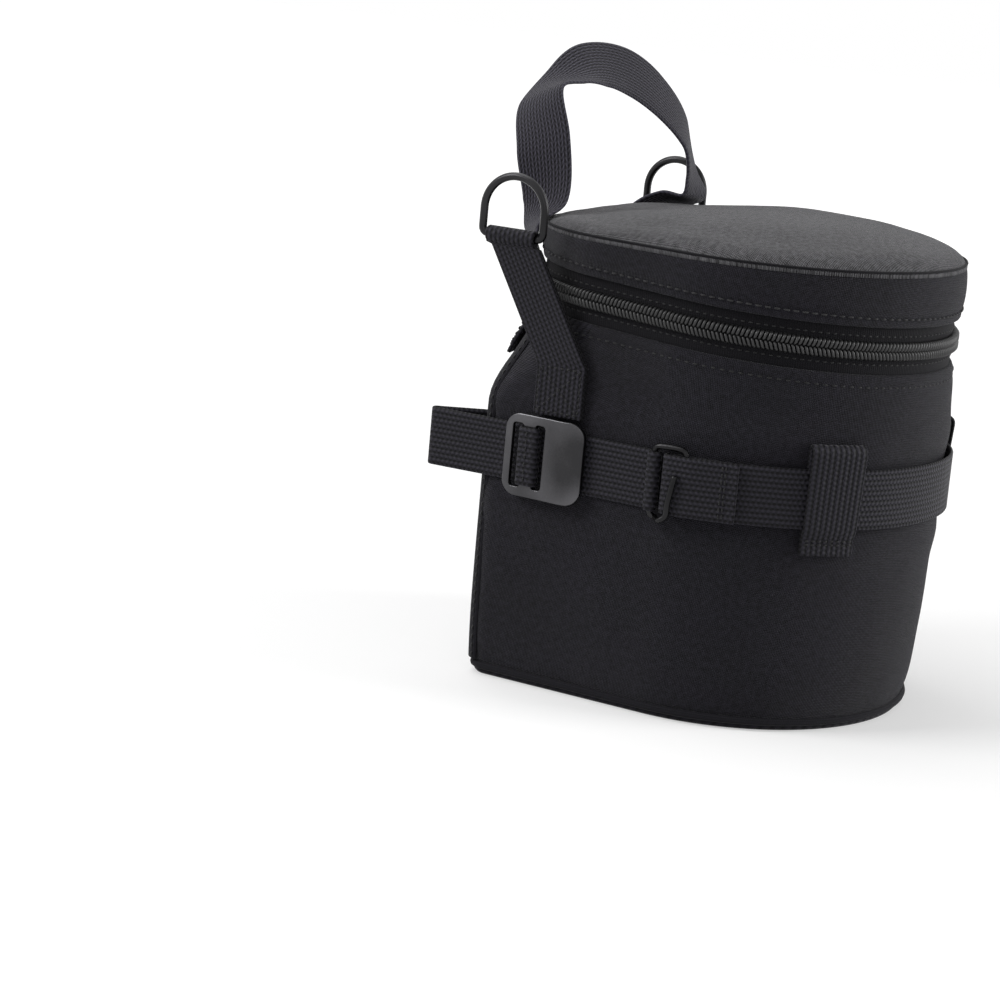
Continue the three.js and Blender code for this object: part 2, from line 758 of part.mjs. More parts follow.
// D-ring: a bar with a round bow, drawn in y and z round the middle of its bar.
function dRing() {
  const half = ringInner / 2 + ringWire / 2;
  const straight = ringRise - half;
  const bend = ringBend;
  const points = [];
  const corner = (cy, cz, from) => {
    for (let i = 0; i <= 2; i += 1) {
      const angle = from + (Math.PI / 2) * (i / 2);
      points.push([cy + bend * Math.cos(angle), cz + bend * Math.sin(angle)]);
    }
  };
  corner(half - bend, bend, -Math.PI / 2);
  for (let i = 0; i <= ringSteps; i += 1) {
    const angle = (Math.PI * i) / ringSteps;
    points.push([half * Math.cos(angle), Math.max(straight, bend) + half * Math.sin(angle)]);
  }
  corner(-half + bend, bend, Math.PI);
  const rings = points.map(([y, z], i) => {
    const before = points[(i + points.length - 1) % points.length];
    const after = points[(i + 1) % points.length];
    const run = new THREE.Vector2(after[0] - before[0], after[1] - before[1]).normalize();
    return Array.from({ length: wireSides }, (_, k) => {
      const angle = (2 * Math.PI * (k + 0.5)) / wireSides;
      const out = (ringWire / 2) * Math.cos(angle);
      return new THREE.Vector3((ringWire / 2) * Math.sin(angle), y + run.y * out, z - run.x * out);
    });
  });
  return ringSolid(rings, true);
}

// Places a flat piece on the left wall: u runs forward along the wall, v up, w away from it.
function onSide(mesh, distance, off, z) {
  const a = onWall(distance - hookWire, off);
  const b = onWall(distance + hookWire, off);
  const u = new THREE.Vector3(b.x - a.x, b.y - a.y, 0).normalize();
  const v = new THREE.Vector3(0, 0, 1);
  const w = new THREE.Vector3().crossVectors(u, v);
  const p = onWall(distance, off);
  mesh.quaternion.setFromRotationMatrix(new THREE.Matrix4().makeBasis(u, v, w));
  mesh.position.set(p.x, p.y, z);
  return mesh;
}

function roundedRect(shape, x0, y0, x1, y1, r) {
  shape.moveTo(x0 + r, y0);
  shape.lineTo(x1 - r, y0);
  shape.absarc(x1 - r, y0 + r, r, -Math.PI / 2, 0, false);
  shape.lineTo(x1, y1 - r);
  shape.absarc(x1 - r, y1 - r, r, 0, Math.PI / 2, false);
  shape.lineTo(x0 + r, y1);
  shape.absarc(x0 + r, y1 - r, r, Math.PI / 2, Math.PI, false);
  shape.lineTo(x0, y0 + r);
  shape.absarc(x0 + r, y0 + r, r, Math.PI, 1.5 * Math.PI, false);
  return shape;
}

const middleBarStart = backBar + backSlot;
const middleBarCentre = middleBarStart + middleBar / 2 - buckleLength / 2;
function buckle() {
  const left = -buckleLength / 2;
  const half = buckleHeight / 2;
  const shape = roundedRect(new THREE.Shape(), left, -half, -left, half, buckleCorner);
  const slots = [
    [left + backBar, left + backBar + backSlot],
    [left + middleBarStart + middleBar, left + middleBarStart + middleBar + frontSlot],
  ];
  slots.forEach(([a, b]) => {
    shape.holes.push(roundedRect(new THREE.Path(), a, -slotHeight / 2, b, slotHeight / 2, slotCorner));
  });
  return new THREE.ExtrudeGeometry(shape, { depth: buckleThickness, bevelEnabled: false, curveSegments: 4 });
}

// Strap end sewn round the buckle's middle bar.
function buckleWrap() {
  const inner = { x: middleBar / 2 + gap, y: buckleThickness / 2 + gap };
  const outer = { x: inner.x + webbing, y: inner.y + webbing };
  const shape = roundedRect(new THREE.Shape(), -outer.x, -outer.y, outer.x, outer.y, webbing);
  shape.holes.push(roundedRect(new THREE.Path(), -inner.x, -inner.y, inner.x, inner.y, gap));
  const depth = beltWidth;
  const geometry = new THREE.ExtrudeGeometry(shape, { depth, bevelEnabled: false, curveSegments: 2 });
  geometry.translate(0, 0, -depth / 2);
  geometry.rotateX(Math.PI / 2);
  return geometry.translate(middleBarCentre, 0, buckleThickness / 2);
}

// Zip slider: a tapered body over the coil with a bail across it. w points away from the wall.
function slider() {
  const sizeShares = [1, 1, 0.8];
  const heightShares = [0, 0.55, 1];
  const rings = sizeShares.map((size, i) => {
    const a = (sliderLength / 2) * size;
    const b = (sliderWidth / 2) * size;
    const corners = [
      [a, -b / 2], [a, b / 2], [a / 2, b], [-a / 2, b], [-a, b / 2], [-a, -b / 2], [-a / 2, -b], [a / 2, -b],
    ];
    return corners.map(([x, y]) => new THREE.Vector3(x, y, sliderThickness * heightShares[i]));
  });
  const arch = [];
  for (let i = 0; i <= bailSteps; i += 1) {
    const angle = (Math.PI * i) / bailSteps;
    arch.push(new THREE.Vector3(
      0, (bailSpan + bailWire / 2) * Math.cos(angle), sliderThickness / 2 + bailRise * Math.sin(angle),
    ));
  }
  return join(ringSolid(rings), wire(arch, bailWire / 2, bailRings));
}

// Pull: a plate with a window. The bail passes through the window and the plate's
// end bar lies under the bail.
function pull() {
  const half = pullWidth / 2;
  const shape = roundedRect(new THREE.Shape(), -half, -pullLength, half, pullBar / 2, half / 2);
  const side = half - pullBar;
  shape.holes.push(roundedRect(
    new THREE.Path(), -side, -pullBar / 2 - pullWindow, side, -pullBar / 2, pullBar / 2,
  ));
  const settings = { depth: pullThickness, bevelEnabled: false, curveSegments: 2 };
  const geometry = new THREE.ExtrudeGeometry(shape, settings);
  return geometry.translate(0, 0, -pullThickness / 2);
}

const zipStations = outline(mouthForm, 0);
const sliderOff = coilProud + sliderPlay;
const pullOff = sliderOff + sliderThickness + sliderPlay + pullThickness / 2;

// Places a piece on the right side of the zip: u runs back along it, w points away from the wall.
function onZip(mesh, y, off) {
  let i = zipStations.length - 1;
  while (zipStations[i - 1].p.y > y) i -= 1;
  const a = zipStations[i - 1];
  const b = zipStations[i];
  const t = (y - a.p.y) / (b.p.y - a.p.y);
  const n = a.n.clone().lerp(b.n, t).normalize();
  const p = a.p.clone().lerp(b.p, t).addScaledVector(n, off);
  const w = new THREE.Vector3(n.x, n.y, 0);
  const u = new THREE.Vector3(-n.y, n.x, mouthSlope * n.x).normalize();
  const v = new THREE.Vector3().crossVectors(w, u);
  mesh.quaternion.setFromRotationMatrix(new THREE.Matrix4().makeBasis(u, v, w));
  mesh.position.set(p.x, p.y, midZip + mouthSlope * p.y);
  return mesh;
}

// Belt loop on the back: a strip sewn at both ends that stands off the panel between them.
function backLoop() {
  const face = backY + wallBelly + gap;
  const points = [];
  const steps = 10;
  const run = loopTopZ - loopBottomZ;
  for (let i = 0; i <= steps; i += 1) {
    const z = loopBottomZ + (run * i) / steps;
    const inside = THREE.MathUtils.clamp((z - loopBottomZ - loopHem) / (run - 2 * loopHem), 0, 1);
    points.push([face + loopBow * Math.sin(Math.PI * inside) ** 0.5, z]);
  }
  const section = [
    ...points.map(([y, z]) => [y + loopFabric, z]),
    ...points.map(([y, z]) => [y, z]).reverse(),
  ];
  return ringSolid([-loopWidth / 2, loopWidth / 2].map((x) => (
    section.map(([y, z]) => new THREE.Vector3(x, y, z))
  )));
}

// Handle: a ruled strip of webbing.
function carryHandle() {
  const steps = 36;
  const places = handlePlaceShares.map(([x, y, z]) => new THREE.Vector3(
    (x * backWidth) / 2, y * bodyDepth, hingeZ + z * handleRise,
  ));
  const across = handleAcrossShares.map((d) => new THREE.Vector3().fromArray(d).normalize());
  const line = new THREE.CatmullRomCurve3(places, false, "centripetal");
  const turn = new THREE.CatmullRomCurve3(across, false, "centripetal");
  const rings = [];
  for (let i = 0; i <= steps; i += 1) {
    const t = i / steps;
    const p = line.getPoint(t);
    const run = line.getTangent(t);
    const w = turn.getPoint(t);
    w.addScaledVector(run, -w.dot(run)).normalize();
    const n = new THREE.Vector3().crossVectors(run, w).multiplyScalar(handleWebbing / 2);
    w.multiplyScalar(handleWidth / 2);
    rings.push([
      p.clone().add(w).add(n), p.clone().sub(w).add(n), p.clone().sub(w).sub(n), p.clone().add(w).sub(n),
    ]);
  }
  return ringSolid(rings);
}

// Where the handle is sewn down: a patch that follows the wall below each of its ends.
const anchorRings = 3;
const anchorSeat = 1.5;
const anchorSteps = 8;
function handleAnchor(sign) {
  const end = handlePlaceShares[0][0] * (backWidth / 2);
  const across = handleAcrossShares[0][0] * (handleWidth / 2);
  const top = (inset) => wallRings(inset, wallFoot, 0).slice(-anchorRings);
  const rows = (inset) => top(inset).map((row) => row.slice(0, cornerSteps + 1));
  const at = (row, x) => {
    let i = 1;
    while (i < row.length - 1 && row[i].x > x) i += 1;
    const t = (x - row[i - 1].x) / (row[i].x - row[i - 1].x);
    const p = t < 0 ? row[0] : row[i - 1].clone().lerp(row[i], t);
    return new THREE.Vector3(-sign * x, p.y, p.z);
  };
  const near = rows(-anchorSeat);
  const far = rows(-anchorSeat - webbing);
  const rings = [];
  for (let k = 0; k <= anchorSteps; k += 1) {
    const x = end + across * (1 - (2 * k) / anchorSteps);
    rings.push([...far.map((row) => at(row, x)), ...near.map((row) => at(row, x)).reverse()]);
  }
  return ringSolid(rings);
}

// Hinge fabric along the back, in a strip for the body and one for the lid.
const hingeSplit = 0.6;
function hingeStrip(low, high) {
  const half = mouthForm.width / 2 - mouthForm.corner - gap;
  const y = mouthForm.back;
  const rings = [-half, half].map((x) => [
    [y, low], [y, high], [y - fabric, high], [y - fabric, low],
  ].map(([py, pz]) => new THREE.Vector3(x, py, pz)));
  return ringSolid(rings);
}

const bodyFold = level(mouthHeight + gap, mouthSlope);
const coilLow = level(midZip - coilHalfGap - coilHeight, mouthSlope);
const coilLowTop = level(midZip - coilHalfGap, mouthSlope);
const coilHighFoot = level(midZip + coilHalfGap, mouthSlope);
const coilHigh = level(midZip + coilHalfGap + coilHeight, mouthSlope);
const lidFold = level(mouthHeight + zipHeight, mouthSlope);
const lowerTapeTop = level(midZip - coilHalfGap - coilHeight - gap, mouthSlope);
const upperTapeFoot = level(midZip + coilHalfGap + coilHeight + gap, mouthSlope);
const upperTapeTop = level(mouthHeight + zipHeight - gap, mouthSlope);
const lidBandTop = level(seamHeight - fabric - gap, seamSlope);

function basePiping() {
  return roll(wallOutline(0, pipingInset), pipingRadius, level(baseFabric + pipingRadius));
}

function base() {
  const rim = wallOutline(0, 2 * pipingRadius);
  return ringSolid([lift(rim, level(0)), lift(rim, level(baseFabric))]);
}

function basePadding() {
  const rim = wallOutline(0, 2 * pipingRadius + pipingInset);
  return ringSolid([lift(rim, level(padFoot)), lift(rim, level(padTop))]);
}

function bodyLining() {
  const inset = fabric + padding + 2 * gap;
  const outer = wallRings(inset, padTop + gap, gap);
  const inner = wallRings(inset + lining, padTop + gap + lining, gap);
  return ringSolid([...outer, ...inner.reverse()]);
}

const pouch = new THREE.Group();
const body = new THREE.Group();
const lid = new THREE.Group();
pouch.add(body, lid);

body.add(
  part("outer_wall", outerWall(), fabricBlack),
  part("back_panel", backPanel(), fabricBlack),
  part("base_panel", base(), fabricBlack),
  part("base_piping", basePiping(), fabricBlack),
  part("base_padding", basePadding(), foamGrey),
  part("wall_padding", closedWall(fabric + gap, padding, padTop + gap, gap), foamGrey),
  part("body_lining", bodyLining(), liningGrey),
  part("edge_binding_left", edgeBinding(-1), webbingBlack),
  part("edge_binding_right", edgeBinding(1), webbingBlack),
  part("zip_tape_lower", band(mouthForm, tapeInset, tape, bodyFold, lowerTapeTop, true), zipBlack),
  part("zip_coil_lower", coilRow(mouthForm, coilLow, coilLowTop), zipBlack),
  part("hinge_strip_body", hingeStrip(bodyFold({ y: mouthForm.back }), hingeZ - hingeSplit), fabricBlack),
  part("belt_strap_left", leftStrap(), webbingBlack),
  part("belt_strap_nose", noseStrap(), webbingBlack),
  part("belt_keeper_left", keeper(-1), webbingBlack),
  part("belt_keeper_right", keeper(1), webbingBlack),
  part("wire_hook", wireHook(), gunmetal),
  part("ring_tab_left", ringTab(-1), webbingBlack),
  part("ring_tab_right", ringTab(1), webbingBlack),
  part("handle_anchor_left", handleAnchor(-1), webbingBlack),
  part("handle_anchor_right", handleAnchor(1), webbingBlack),
  part("back_loop", backLoop(), fabricBlack),
);

lid.add(
  part("lid_band", band(lidForm, 0, fabric, lidFold, lidBandTop), fabricBlack),
  part("lid_top", lidTop(), fabricLid),
  part("lid_padding", lidPad(), foamGrey),
  part("lid_lining", lidLining(), liningGrey),
  part("zip_tape_upper", band(mouthForm, tapeInset, tape, upperTapeFoot, upperTapeTop, true), zipBlack),
  part("zip_coil_upper", coilRow(mouthForm, coilHighFoot, coilHigh), zipBlack),
  part("hinge_strip_lid", hingeStrip(hingeZ + hingeSplit, upperTapeTop({ y: mouthForm.back })), fabricBlack),
);

[-1, 1].forEach((sign) => {
  const ring = part(sign < 0 ? "d_ring_left" : "d_ring_right", dRing(), gunmetal);
  ring.position.set(sign * ringX, ringY, ringBarZ);
  pouch.add(ring);
});

pouch.add(part("carry_handle", carryHandle(), webbingBlack));

const beltCentre = beltTop - beltWidth / 2;
pouch.add(onSide(part("ladder_buckle", buckle(), gunmetal), buckleAlong, buckleOff, beltCentre));
pouch.add(onSide(part("buckle_webbing", buckleWrap(), webbingBlack), buckleAlong, buckleOff, beltCentre));

["front", "rear"].forEach((place) => {
  const y = place === "front" ? frontSliderY : rearSliderY;
  const runner = onZip(part(`zip_slider_${place}`, slider(), gunmetal), y, sliderOff);
  const tab = onZip(part(`zip_pull_${place}`, pull(), webbingBlack), y, pullOff);
  if (place === "rear") tab.rotateX(Math.PI - THREE.MathUtils.degToRad(pullLean));
  pouch.add(runner, tab);
});

export default pouch;
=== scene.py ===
import math
from bisect import bisect_left

import bmesh
import bpy
from mathutils import Matrix, Vector, noise


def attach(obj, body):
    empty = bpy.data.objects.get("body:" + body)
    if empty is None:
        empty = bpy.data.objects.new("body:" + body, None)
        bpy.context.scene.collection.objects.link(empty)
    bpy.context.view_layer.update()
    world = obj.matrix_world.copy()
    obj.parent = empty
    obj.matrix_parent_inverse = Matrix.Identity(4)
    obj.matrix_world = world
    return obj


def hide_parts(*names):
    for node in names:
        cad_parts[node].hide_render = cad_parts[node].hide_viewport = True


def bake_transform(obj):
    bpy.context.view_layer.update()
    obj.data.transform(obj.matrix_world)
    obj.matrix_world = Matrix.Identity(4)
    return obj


bl_info = {
    "name": "Lens pouch",
    "version": (1, 0, 0),
    "blender": (4, 5, 0),
    "location": "3D View > Sidebar > Pouch",
    "description": "Sews a padded lens pouch round its frame and sets up a studio",
    "category": "Add Mesh",
}

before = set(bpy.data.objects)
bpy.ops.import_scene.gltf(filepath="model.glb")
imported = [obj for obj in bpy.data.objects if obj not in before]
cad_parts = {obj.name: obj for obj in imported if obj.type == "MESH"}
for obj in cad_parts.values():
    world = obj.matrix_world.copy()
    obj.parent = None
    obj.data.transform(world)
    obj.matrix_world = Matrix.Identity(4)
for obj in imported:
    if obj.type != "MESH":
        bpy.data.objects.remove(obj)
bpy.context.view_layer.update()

PI = math.pi
UP = Vector((0, 0, 1))
BACKWARD = Vector((0, 1, 0))

# Driving sizes, in metres
BODY_DEPTH = 0.152
BACK_WIDTH = 0.134
NOSE_RADIUS = 0.071
MOUTH_HEIGHT = 0.1376
ZIP_HEIGHT = 0.0173
SEAM_HEIGHT = 0.1719
CROWN_HEIGHT = 0.0068
FULL_CROWN = 0.0098
MOUTH_SLOPE = 0.06
SEAM_SLOPE = 0.01
BODY_CORNER = 0.008
LID_CORNER = 0.044
LID_SETBACK = 0.001
LID_OVERHANG = 0.001
WALL_BELLY = 0.0014
NOSE_TUCK = 0.004
FABRIC = 0.0011
CLOTH = 0.0006
LINER = 0.0088
LID_LINER = 0.0063
WEBBING = 0.0013
BELT_WIDTH = 0.022
BELT_TOP = 0.0996
BELT_LOW = BELT_TOP - BELT_WIDTH
BELT_Z = BELT_TOP - BELT_WIDTH / 2
KEEPER_WIDTH = 0.020
TAB_WIDTH = 0.020
TOOTH_PITCH = 0.0016
FOLD_RADIUS = 0.0011
PLAY = 0.0003
FINE_STEP = 0.0004
CLOSE_STEP = 0.0005
STEP = 0.0008

BACK_Y = BODY_DEPTH / 2
NOSE_Y = NOSE_RADIUS - BACK_Y
MID_ZIP = MOUTH_HEIGHT + ZIP_HEIGHT / 2
HINGE = Vector((0, BACK_Y + 0.0013, MID_ZIP + MOUTH_SLOPE * BACK_Y))
SIDES = (("left", -1), ("right", 1))

# Steps round the plan: corner arc, straight side, nose arc, back line
CORNER_STEPS = 16
SIDE_STEPS = 24
NOSE_STEPS = 96
BACK_STEPS = 28
HALF_CORNER = CORNER_STEPS // 2
NOSE_END = CORNER_STEPS + SIDE_STEPS + NOSE_STEPS
NOSE_TIP = NOSE_END - NOSE_STEPS // 2
SIDE_END = NOSE_END + SIDE_STEPS
RIGHT_SEAM = SIDE_END + HALF_CORNER
ROUND = SIDE_END + CORNER_STEPS + BACK_STEPS


def mix(a, b, t):
    return a + (b - a) * t


def smooth(x, low, high):
    t = min(max((x - low) / (high - low), 0), 1)
    return t * t * (3 - 2 * t)


def bump(x, centre, width):
    return math.exp(-(((x - centre) / width) ** 2))


def ripple(x, y, z, scale, size):
    """Soft unevenness of a padded surface."""
    return noise.noise(Vector((x, y, z)) * scale) * size


def over(p, z):
    """The point straight over or under another, at height z."""
    return Vector((p.x, p.y, z))


def spread(points, share, z):
    """Points of the plan drawn in towards its middle, at height z."""
    return [over(p * share, z) for p in points]


def arc_points(x, y, radius, start, end, steps):
    """Even points on an arc with both its ends, as pairs."""
    angles = [mix(start, end, i / steps) for i in range(steps + 1)]
    return [(x + radius * math.cos(a), y + radius * math.sin(a)) for a in angles]


def lengths_of(points):
    """The length of a chain of points up to each of them."""
    found = [0]
    for a, b in zip(points, points[1:]):
        found.append(found[-1] + (b - a).length)
    return found


def locate(lengths, distance):
    """The step that holds a distance, and the share of that step."""
    i = min(max(bisect_left(lengths, distance), 1), len(lengths) - 1)
    span = lengths[i] - lengths[i - 1]
    return i, (distance - lengths[i - 1]) / span if span else 0


def directions(path, closed=False):
    """Which way a path runs at each of its points."""
    found = []
    for i in range(len(path)):
        before = path[i - 1] if closed or i else path[0]
        after = path[(i + 1) % len(path)] if closed or i < len(path) - 1 else path[-1]
        found.append((after - before).normalized())
    return found


def resample(path, spacing):
    """Even points along a chain of points."""
    lengths = lengths_of(path)
    count = max(int(round(lengths[-1] / spacing)), 2)
    found = []
    for k in range(count + 1):
        i, t = locate(lengths, lengths[-1] * k / count)
        found.append(path[i - 1].lerp(path[i], t))
    return found


def soften(path, rounds=3):
    """Eases the corners of a chain of points."""
    for _ in range(rounds):
        inner = [(a + b * 2 + c) / 4 for a, b, c in zip(path, path[1:], path[2:])]
        path = [path[0]] + inner + [path[-1]]
    return path


def catmull(points, t):
    """A point on the even, centripetal curve through the points."""
    where = (len(points) - 1) * t
    i = min(int(where), len(points) - 2)
    weight = where - i
    p1, p2 = points[i], points[i + 1]
    p0 = points[i - 1] if i > 0 else p1 * 2 - p2
    p3 = points[i + 2] if i + 2 < len(points) else p2 * 2 - p1
    d0, d1, d2 = (max((b - a).length, 1e-9) ** 0.5 for a, b in ((p0, p1), (p1, p2), (p2, p3)))
    t1 = ((p1 - p0) / d0 - (p2 - p0) / (d0 + d1) + (p2 - p1) / d1) * d1
    t2 = ((p2 - p1) / d1 - (p3 - p1) / (d1 + d2) + (p3 - p2) / d2) * d1
    w2, w3 = weight * weight, weight**3
    return p1 + t1 * weight + (p2 * 3 - p1 * 3 - t1 * 2 - t2) * w2 + (p1 * 2 - p2 * 2 + t1 + t2) * w3


# Plan outline: stations round the pouch from the back left corner, closed along the back
def plan(width, corner, nose, back, inset):
    dx = corner - width / 2
    dy = back - corner - NOSE_Y
    turn = math.atan2(dy, dx) + math.acos((nose - corner) / math.hypot(dx, dy))
    radius = max(corner - inset, FABRIC)
    reach = nose - inset
    cy = back - inset - radius
    cx = (reach - radius - math.sin(turn) * (cy - NOSE_Y)) / math.cos(turn)
    stations = []

    def arc(x, y, r, start, end, steps):
        for i in range(steps):
            angle = mix(start, end, i / steps)
            n = Vector((math.cos(angle), math.sin(angle), 0))
            stations.append((Vector((x, y, 0)) + n * r, n))

    def line(x0, y0, r0, x1, y1, r1, angle, steps):
        n = Vector((math.cos(angle), math.sin(angle), 0))
        a = Vector((x0, y0, 0)) + n * r0
        b = Vector((x1, y1, 0)) + n * r1
        stations.extend((a.lerp(b, i / steps), n) for i in range(steps))

    arc(cx, cy, radius, PI / 2, turn, CORNER_STEPS)
    line(cx, cy, radius, 0, NOSE_Y, reach, turn, SIDE_STEPS)
    arc(0, NOSE_Y, reach, turn, 3 * PI - turn, NOSE_STEPS)
    line(0, NOSE_Y, reach, -cx, cy, radius, 3 * PI - turn, SIDE_STEPS)
    arc(-cx, cy, radius, 3 * PI - turn, 2.5 * PI, CORNER_STEPS)
    line(-cx, cy, radius, cx, cy, radius, PI / 2, BACK_STEPS)
    return stations


def lid_plan(inset):
    grown = LID_OVERHANG
    return plan(BACK_WIDTH + 2 * grown, LID_CORNER + grown, NOSE_RADIUS + grown, BACK_Y - LID_SETBACK, inset)


def mouth_plan(inset):
    return plan(BACK_WIDTH, LID_CORNER, NOSE_RADIUS, BACK_Y - LID_SETBACK, inset)


BLEND_START = 0.74
SLOPE_START = 0.3


def wall_plan(share, inset):
    """The wall's plan at a share of its height: square corners low down, round ones at the mouth."""
    top = smooth(share, BLEND_START, 1)
    swell = WALL_BELLY * (1 - (2 * share - 1) ** 4)
    tuck = NOSE_TUCK * (1 - share) ** 2
    corner = mix(BODY_CORNER, LID_CORNER, top)
    back = mix(BACK_Y, BACK_Y - LID_SETBACK, top)
    found = []
    for p, n in plan(BACK_WIDTH, corner, NOSE_RADIUS, back, inset - swell):
        ahead = (BACK_Y - p.y) / BODY_DEPTH
        found.append((Vector((p.x, p.y + tuck * ahead * ahead, 0)), n))
    return found


def choose(stations, columns):
    return [stations[c % ROUND] for c in columns]


def wall_height(share, y):
    climb = max(0, share - SLOPE_START) / (1 - SLOPE_START)
    return MOUTH_HEIGHT * share + MOUTH_SLOPE * climb * y


def mouth(y):
    return MOUTH_HEIGHT + MOUTH_SLOPE * y


def lid_fold(y):
    return MOUTH_HEIGHT + ZIP_HEIGHT + MOUTH_SLOPE * y


def lid_seam(y):
    return SEAM_HEIGHT + SEAM_SLOPE * y


def wall_point(column, z, off):
    """The point over a column of the wall at height z, standing off it."""
    share = z / MOUTH_HEIGHT
    for _ in range(4):
        p, n = wall_plan(share, 0)[column % ROUND]
        share += (z - wall_height(share, p.y)) / MOUTH_HEIGHT
    return over(p, z) + n * off, n


class Belt:
    """The line of the belt round the wall: places on it by distance from the back left corner."""

    def __init__(self, height):
        self.stations = wall_plan(height / MOUTH_HEIGHT, 0)
        self.lengths = lengths_of([p for p, n in self.stations])
        self.corner = self.lengths[CORNER_STEPS]
        self.nose = (self.lengths[CORNER_STEPS + SIDE_STEPS] + self.lengths[NOSE_END]) / 2
        self.end = self.lengths[SIDE_END]

    def at(self, distance, off, z):
        i, t = locate(self.lengths, distance)
        (a, m), (b, n) = self.stations[i - 1], self.stations[i]
        out = m.lerp(n, t).normalized()
        return over(a.lerp(b, t) + out * off, z), out


belt_line = Belt(BELT_Z)


def on_belt(distance, off, z=BELT_Z):
    return belt_line.at(distance, off, z)[0]


def dress(piece, slot, body, *nodes):
    """Hides the nodes a piece stands for and hangs it on the body that carries it. The slot is not used."""
    if nodes:
        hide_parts(*nodes)
    if body:
        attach(piece, body)


# Meshes
def add_mesh(name, points, faces, uvs, look, recalc=False):
    mesh = bpy.data.meshes.new(name)
    mesh.from_pydata([tuple(p) for p in points], [], faces)
    layer = mesh.uv_layers.new(name="cloth")
    layer.data.foreach_set("uv", [c for face in uvs for uv in face for c in uv])
    mesh.polygons.foreach_set("use_smooth", [True] * len(faces))
    mesh.materials.append(look)
    piece = bpy.data.objects.new(name, mesh)
    bpy.context.scene.collection.objects.link(piece)
    if recalc:
        shape = bmesh.new()
        shape.from_mesh(mesh)
        bmesh.ops.recalc_face_normals(shape, faces=shape.faces)
        shape.to_mesh(mesh)
        shape.free()
    return piece


def net(rows, across, along, rows_close, columns_close):
    """Faces between rows of points, with the weave laid out in metres."""
    count = len(rows[0])
    faces, uvs = [], []
    for i in range(len(rows) if rows_close else len(rows) - 1):
        n = (i + 1) % len(rows)
        for j in range(count if columns_close else count - 1):
            k = (j + 1) % count
            faces.append((i * count + j, i * count + k, n * count + k, n * count + j))
            u, w = across[j], across[j + 1]
            uvs.append([(u, along[i]), (w, along[i]), (w, along[i + 1]), (u, along[i + 1])])
    return faces, uvs


def skin(name, rows, look, round_=False):
    """A cloth surface over rows of points."""
    middle = rows[len(rows) // 2]
    across = lengths_of(middle + (middle[:1] if round_ else []))
    along = lengths_of([row[len(row) // 2] for row in rows])
    faces, uvs = net(rows, across, along, False, round_)
    return add_mesh(name, [p for row in rows for p in row], faces, uvs, look)


def loft(name, rings, look, closed=False, across=None, along=None):
    """A closed body over rings of points that each close on themselves."""
    count = len(rings[0])
    across = across or lengths_of(rings[0] + rings[0][:1])
    along = along or lengths_of([ring[0] for ring in rings + (rings[:1] if closed else [])])
    faces, uvs = net(rings, across, along, closed, True)
    if not closed:
        last = (len(rings) - 1) * count
        faces.append(tuple(range(count - 1, -1, -1)))
        faces.append(tuple(last + j for j in range(count)))
        uvs.append([(across[j], along[0]) for j in range(count - 1, -1, -1)])
        uvs.append([(across[j], along[-1]) for j in range(count)])
    return add_mesh(name, [p for ring in rings for p in ring], faces, uvs, look, recalc=True)


def bars(name, points, rings, sides, look):
    """Many short bars in one mesh, each a stack of rings with a cap at both ends."""
    faces = []
    for base in range(0, len(points), rings * sides):
        for a in range(base, base + (rings - 1) * sides, sides):
            for j in range(sides):
                n = (j + 1) % sides
                faces.append((a + j, a + n, a + sides + n, a + sides + j))
        last = base + (rings - 1) * sides
        faces.append(tuple(range(base + sides - 1, base - 1, -1)))
        faces.append(tuple(range(last, last + sides)))
    uvs = [[(points[i].x, points[i].z) for i in face] for face in faces]
    return add_mesh(name, points, faces, uvs, look, recalc=True)


ROLL_STEPS = 8


def rolled(stations, near, far, height, rise):
    """Rows that roll over an edge by half a turn, from one inset to another."""
    rows = []
    for k in range(ROLL_STEPS + 1):
        angle = PI * k / ROLL_STEPS
        inset = near + (far - near) / 2 * (1 - math.cos(angle))
        rows.append([over(p - n * inset, height(p.y) + rise * math.sin(angle)) for p, n in stations])
    return rows


def pick(piece):
    bpy.ops.object.select_all(action="DESELECT")
    piece.select_set(True)
    bpy.context.view_layer.objects.active = piece


def apply_modifier(piece, kind, **settings):
    pick(piece)
    modifier = piece.modifiers.new(kind.title(), kind)
    for key, value in settings.items():
        setattr(modifier, key, value)
    bpy.ops.object.modifier_apply(modifier=modifier.name)
    return piece


def thicken(piece, thickness):
    return apply_modifier(piece, "SOLIDIFY", thickness=thickness, offset=-1.0, use_even_offset=True)


def round_edges(piece, width, segments, degrees):
    angle = math.radians(degrees)
    return apply_modifier(
        piece, "BEVEL", width=width, segments=segments, limit_method="ANGLE", angle_limit=angle,
    )


def join(name, pieces):
    bpy.ops.object.select_all(action="DESELECT")
    for piece in pieces:
        piece.select_set(True)
    bpy.context.view_layer.objects.active = pieces[0]
    bpy.ops.object.join()
    pieces[0].name = name
    pieces[0].data.name = name
    return pieces[0]


def move_mesh(piece, matrix):
    """Moves a piece's mesh to its place, with its object left at the origin."""
    piece.data.transform(matrix)
    piece.data.update()


def axes(u, v, w, origin):
    """The matrix with the axes u, v and w, set at a place."""
    found = Matrix((u, v, w)).transposed().to_4x4()
    found.translation = origin
    return found


def lay_out(piece, a, b):
    """Lays the weave out flat along two of the mesh's axes."""
    layers = piece.data.uv_layers
    layer = layers.get("cloth") or layers.new(name="cloth")
    for loop in piece.data.loops:
        p = piece.data.vertices[loop.vertex_index].co
        layer.data[loop.index].uv = (p[a], p[b])


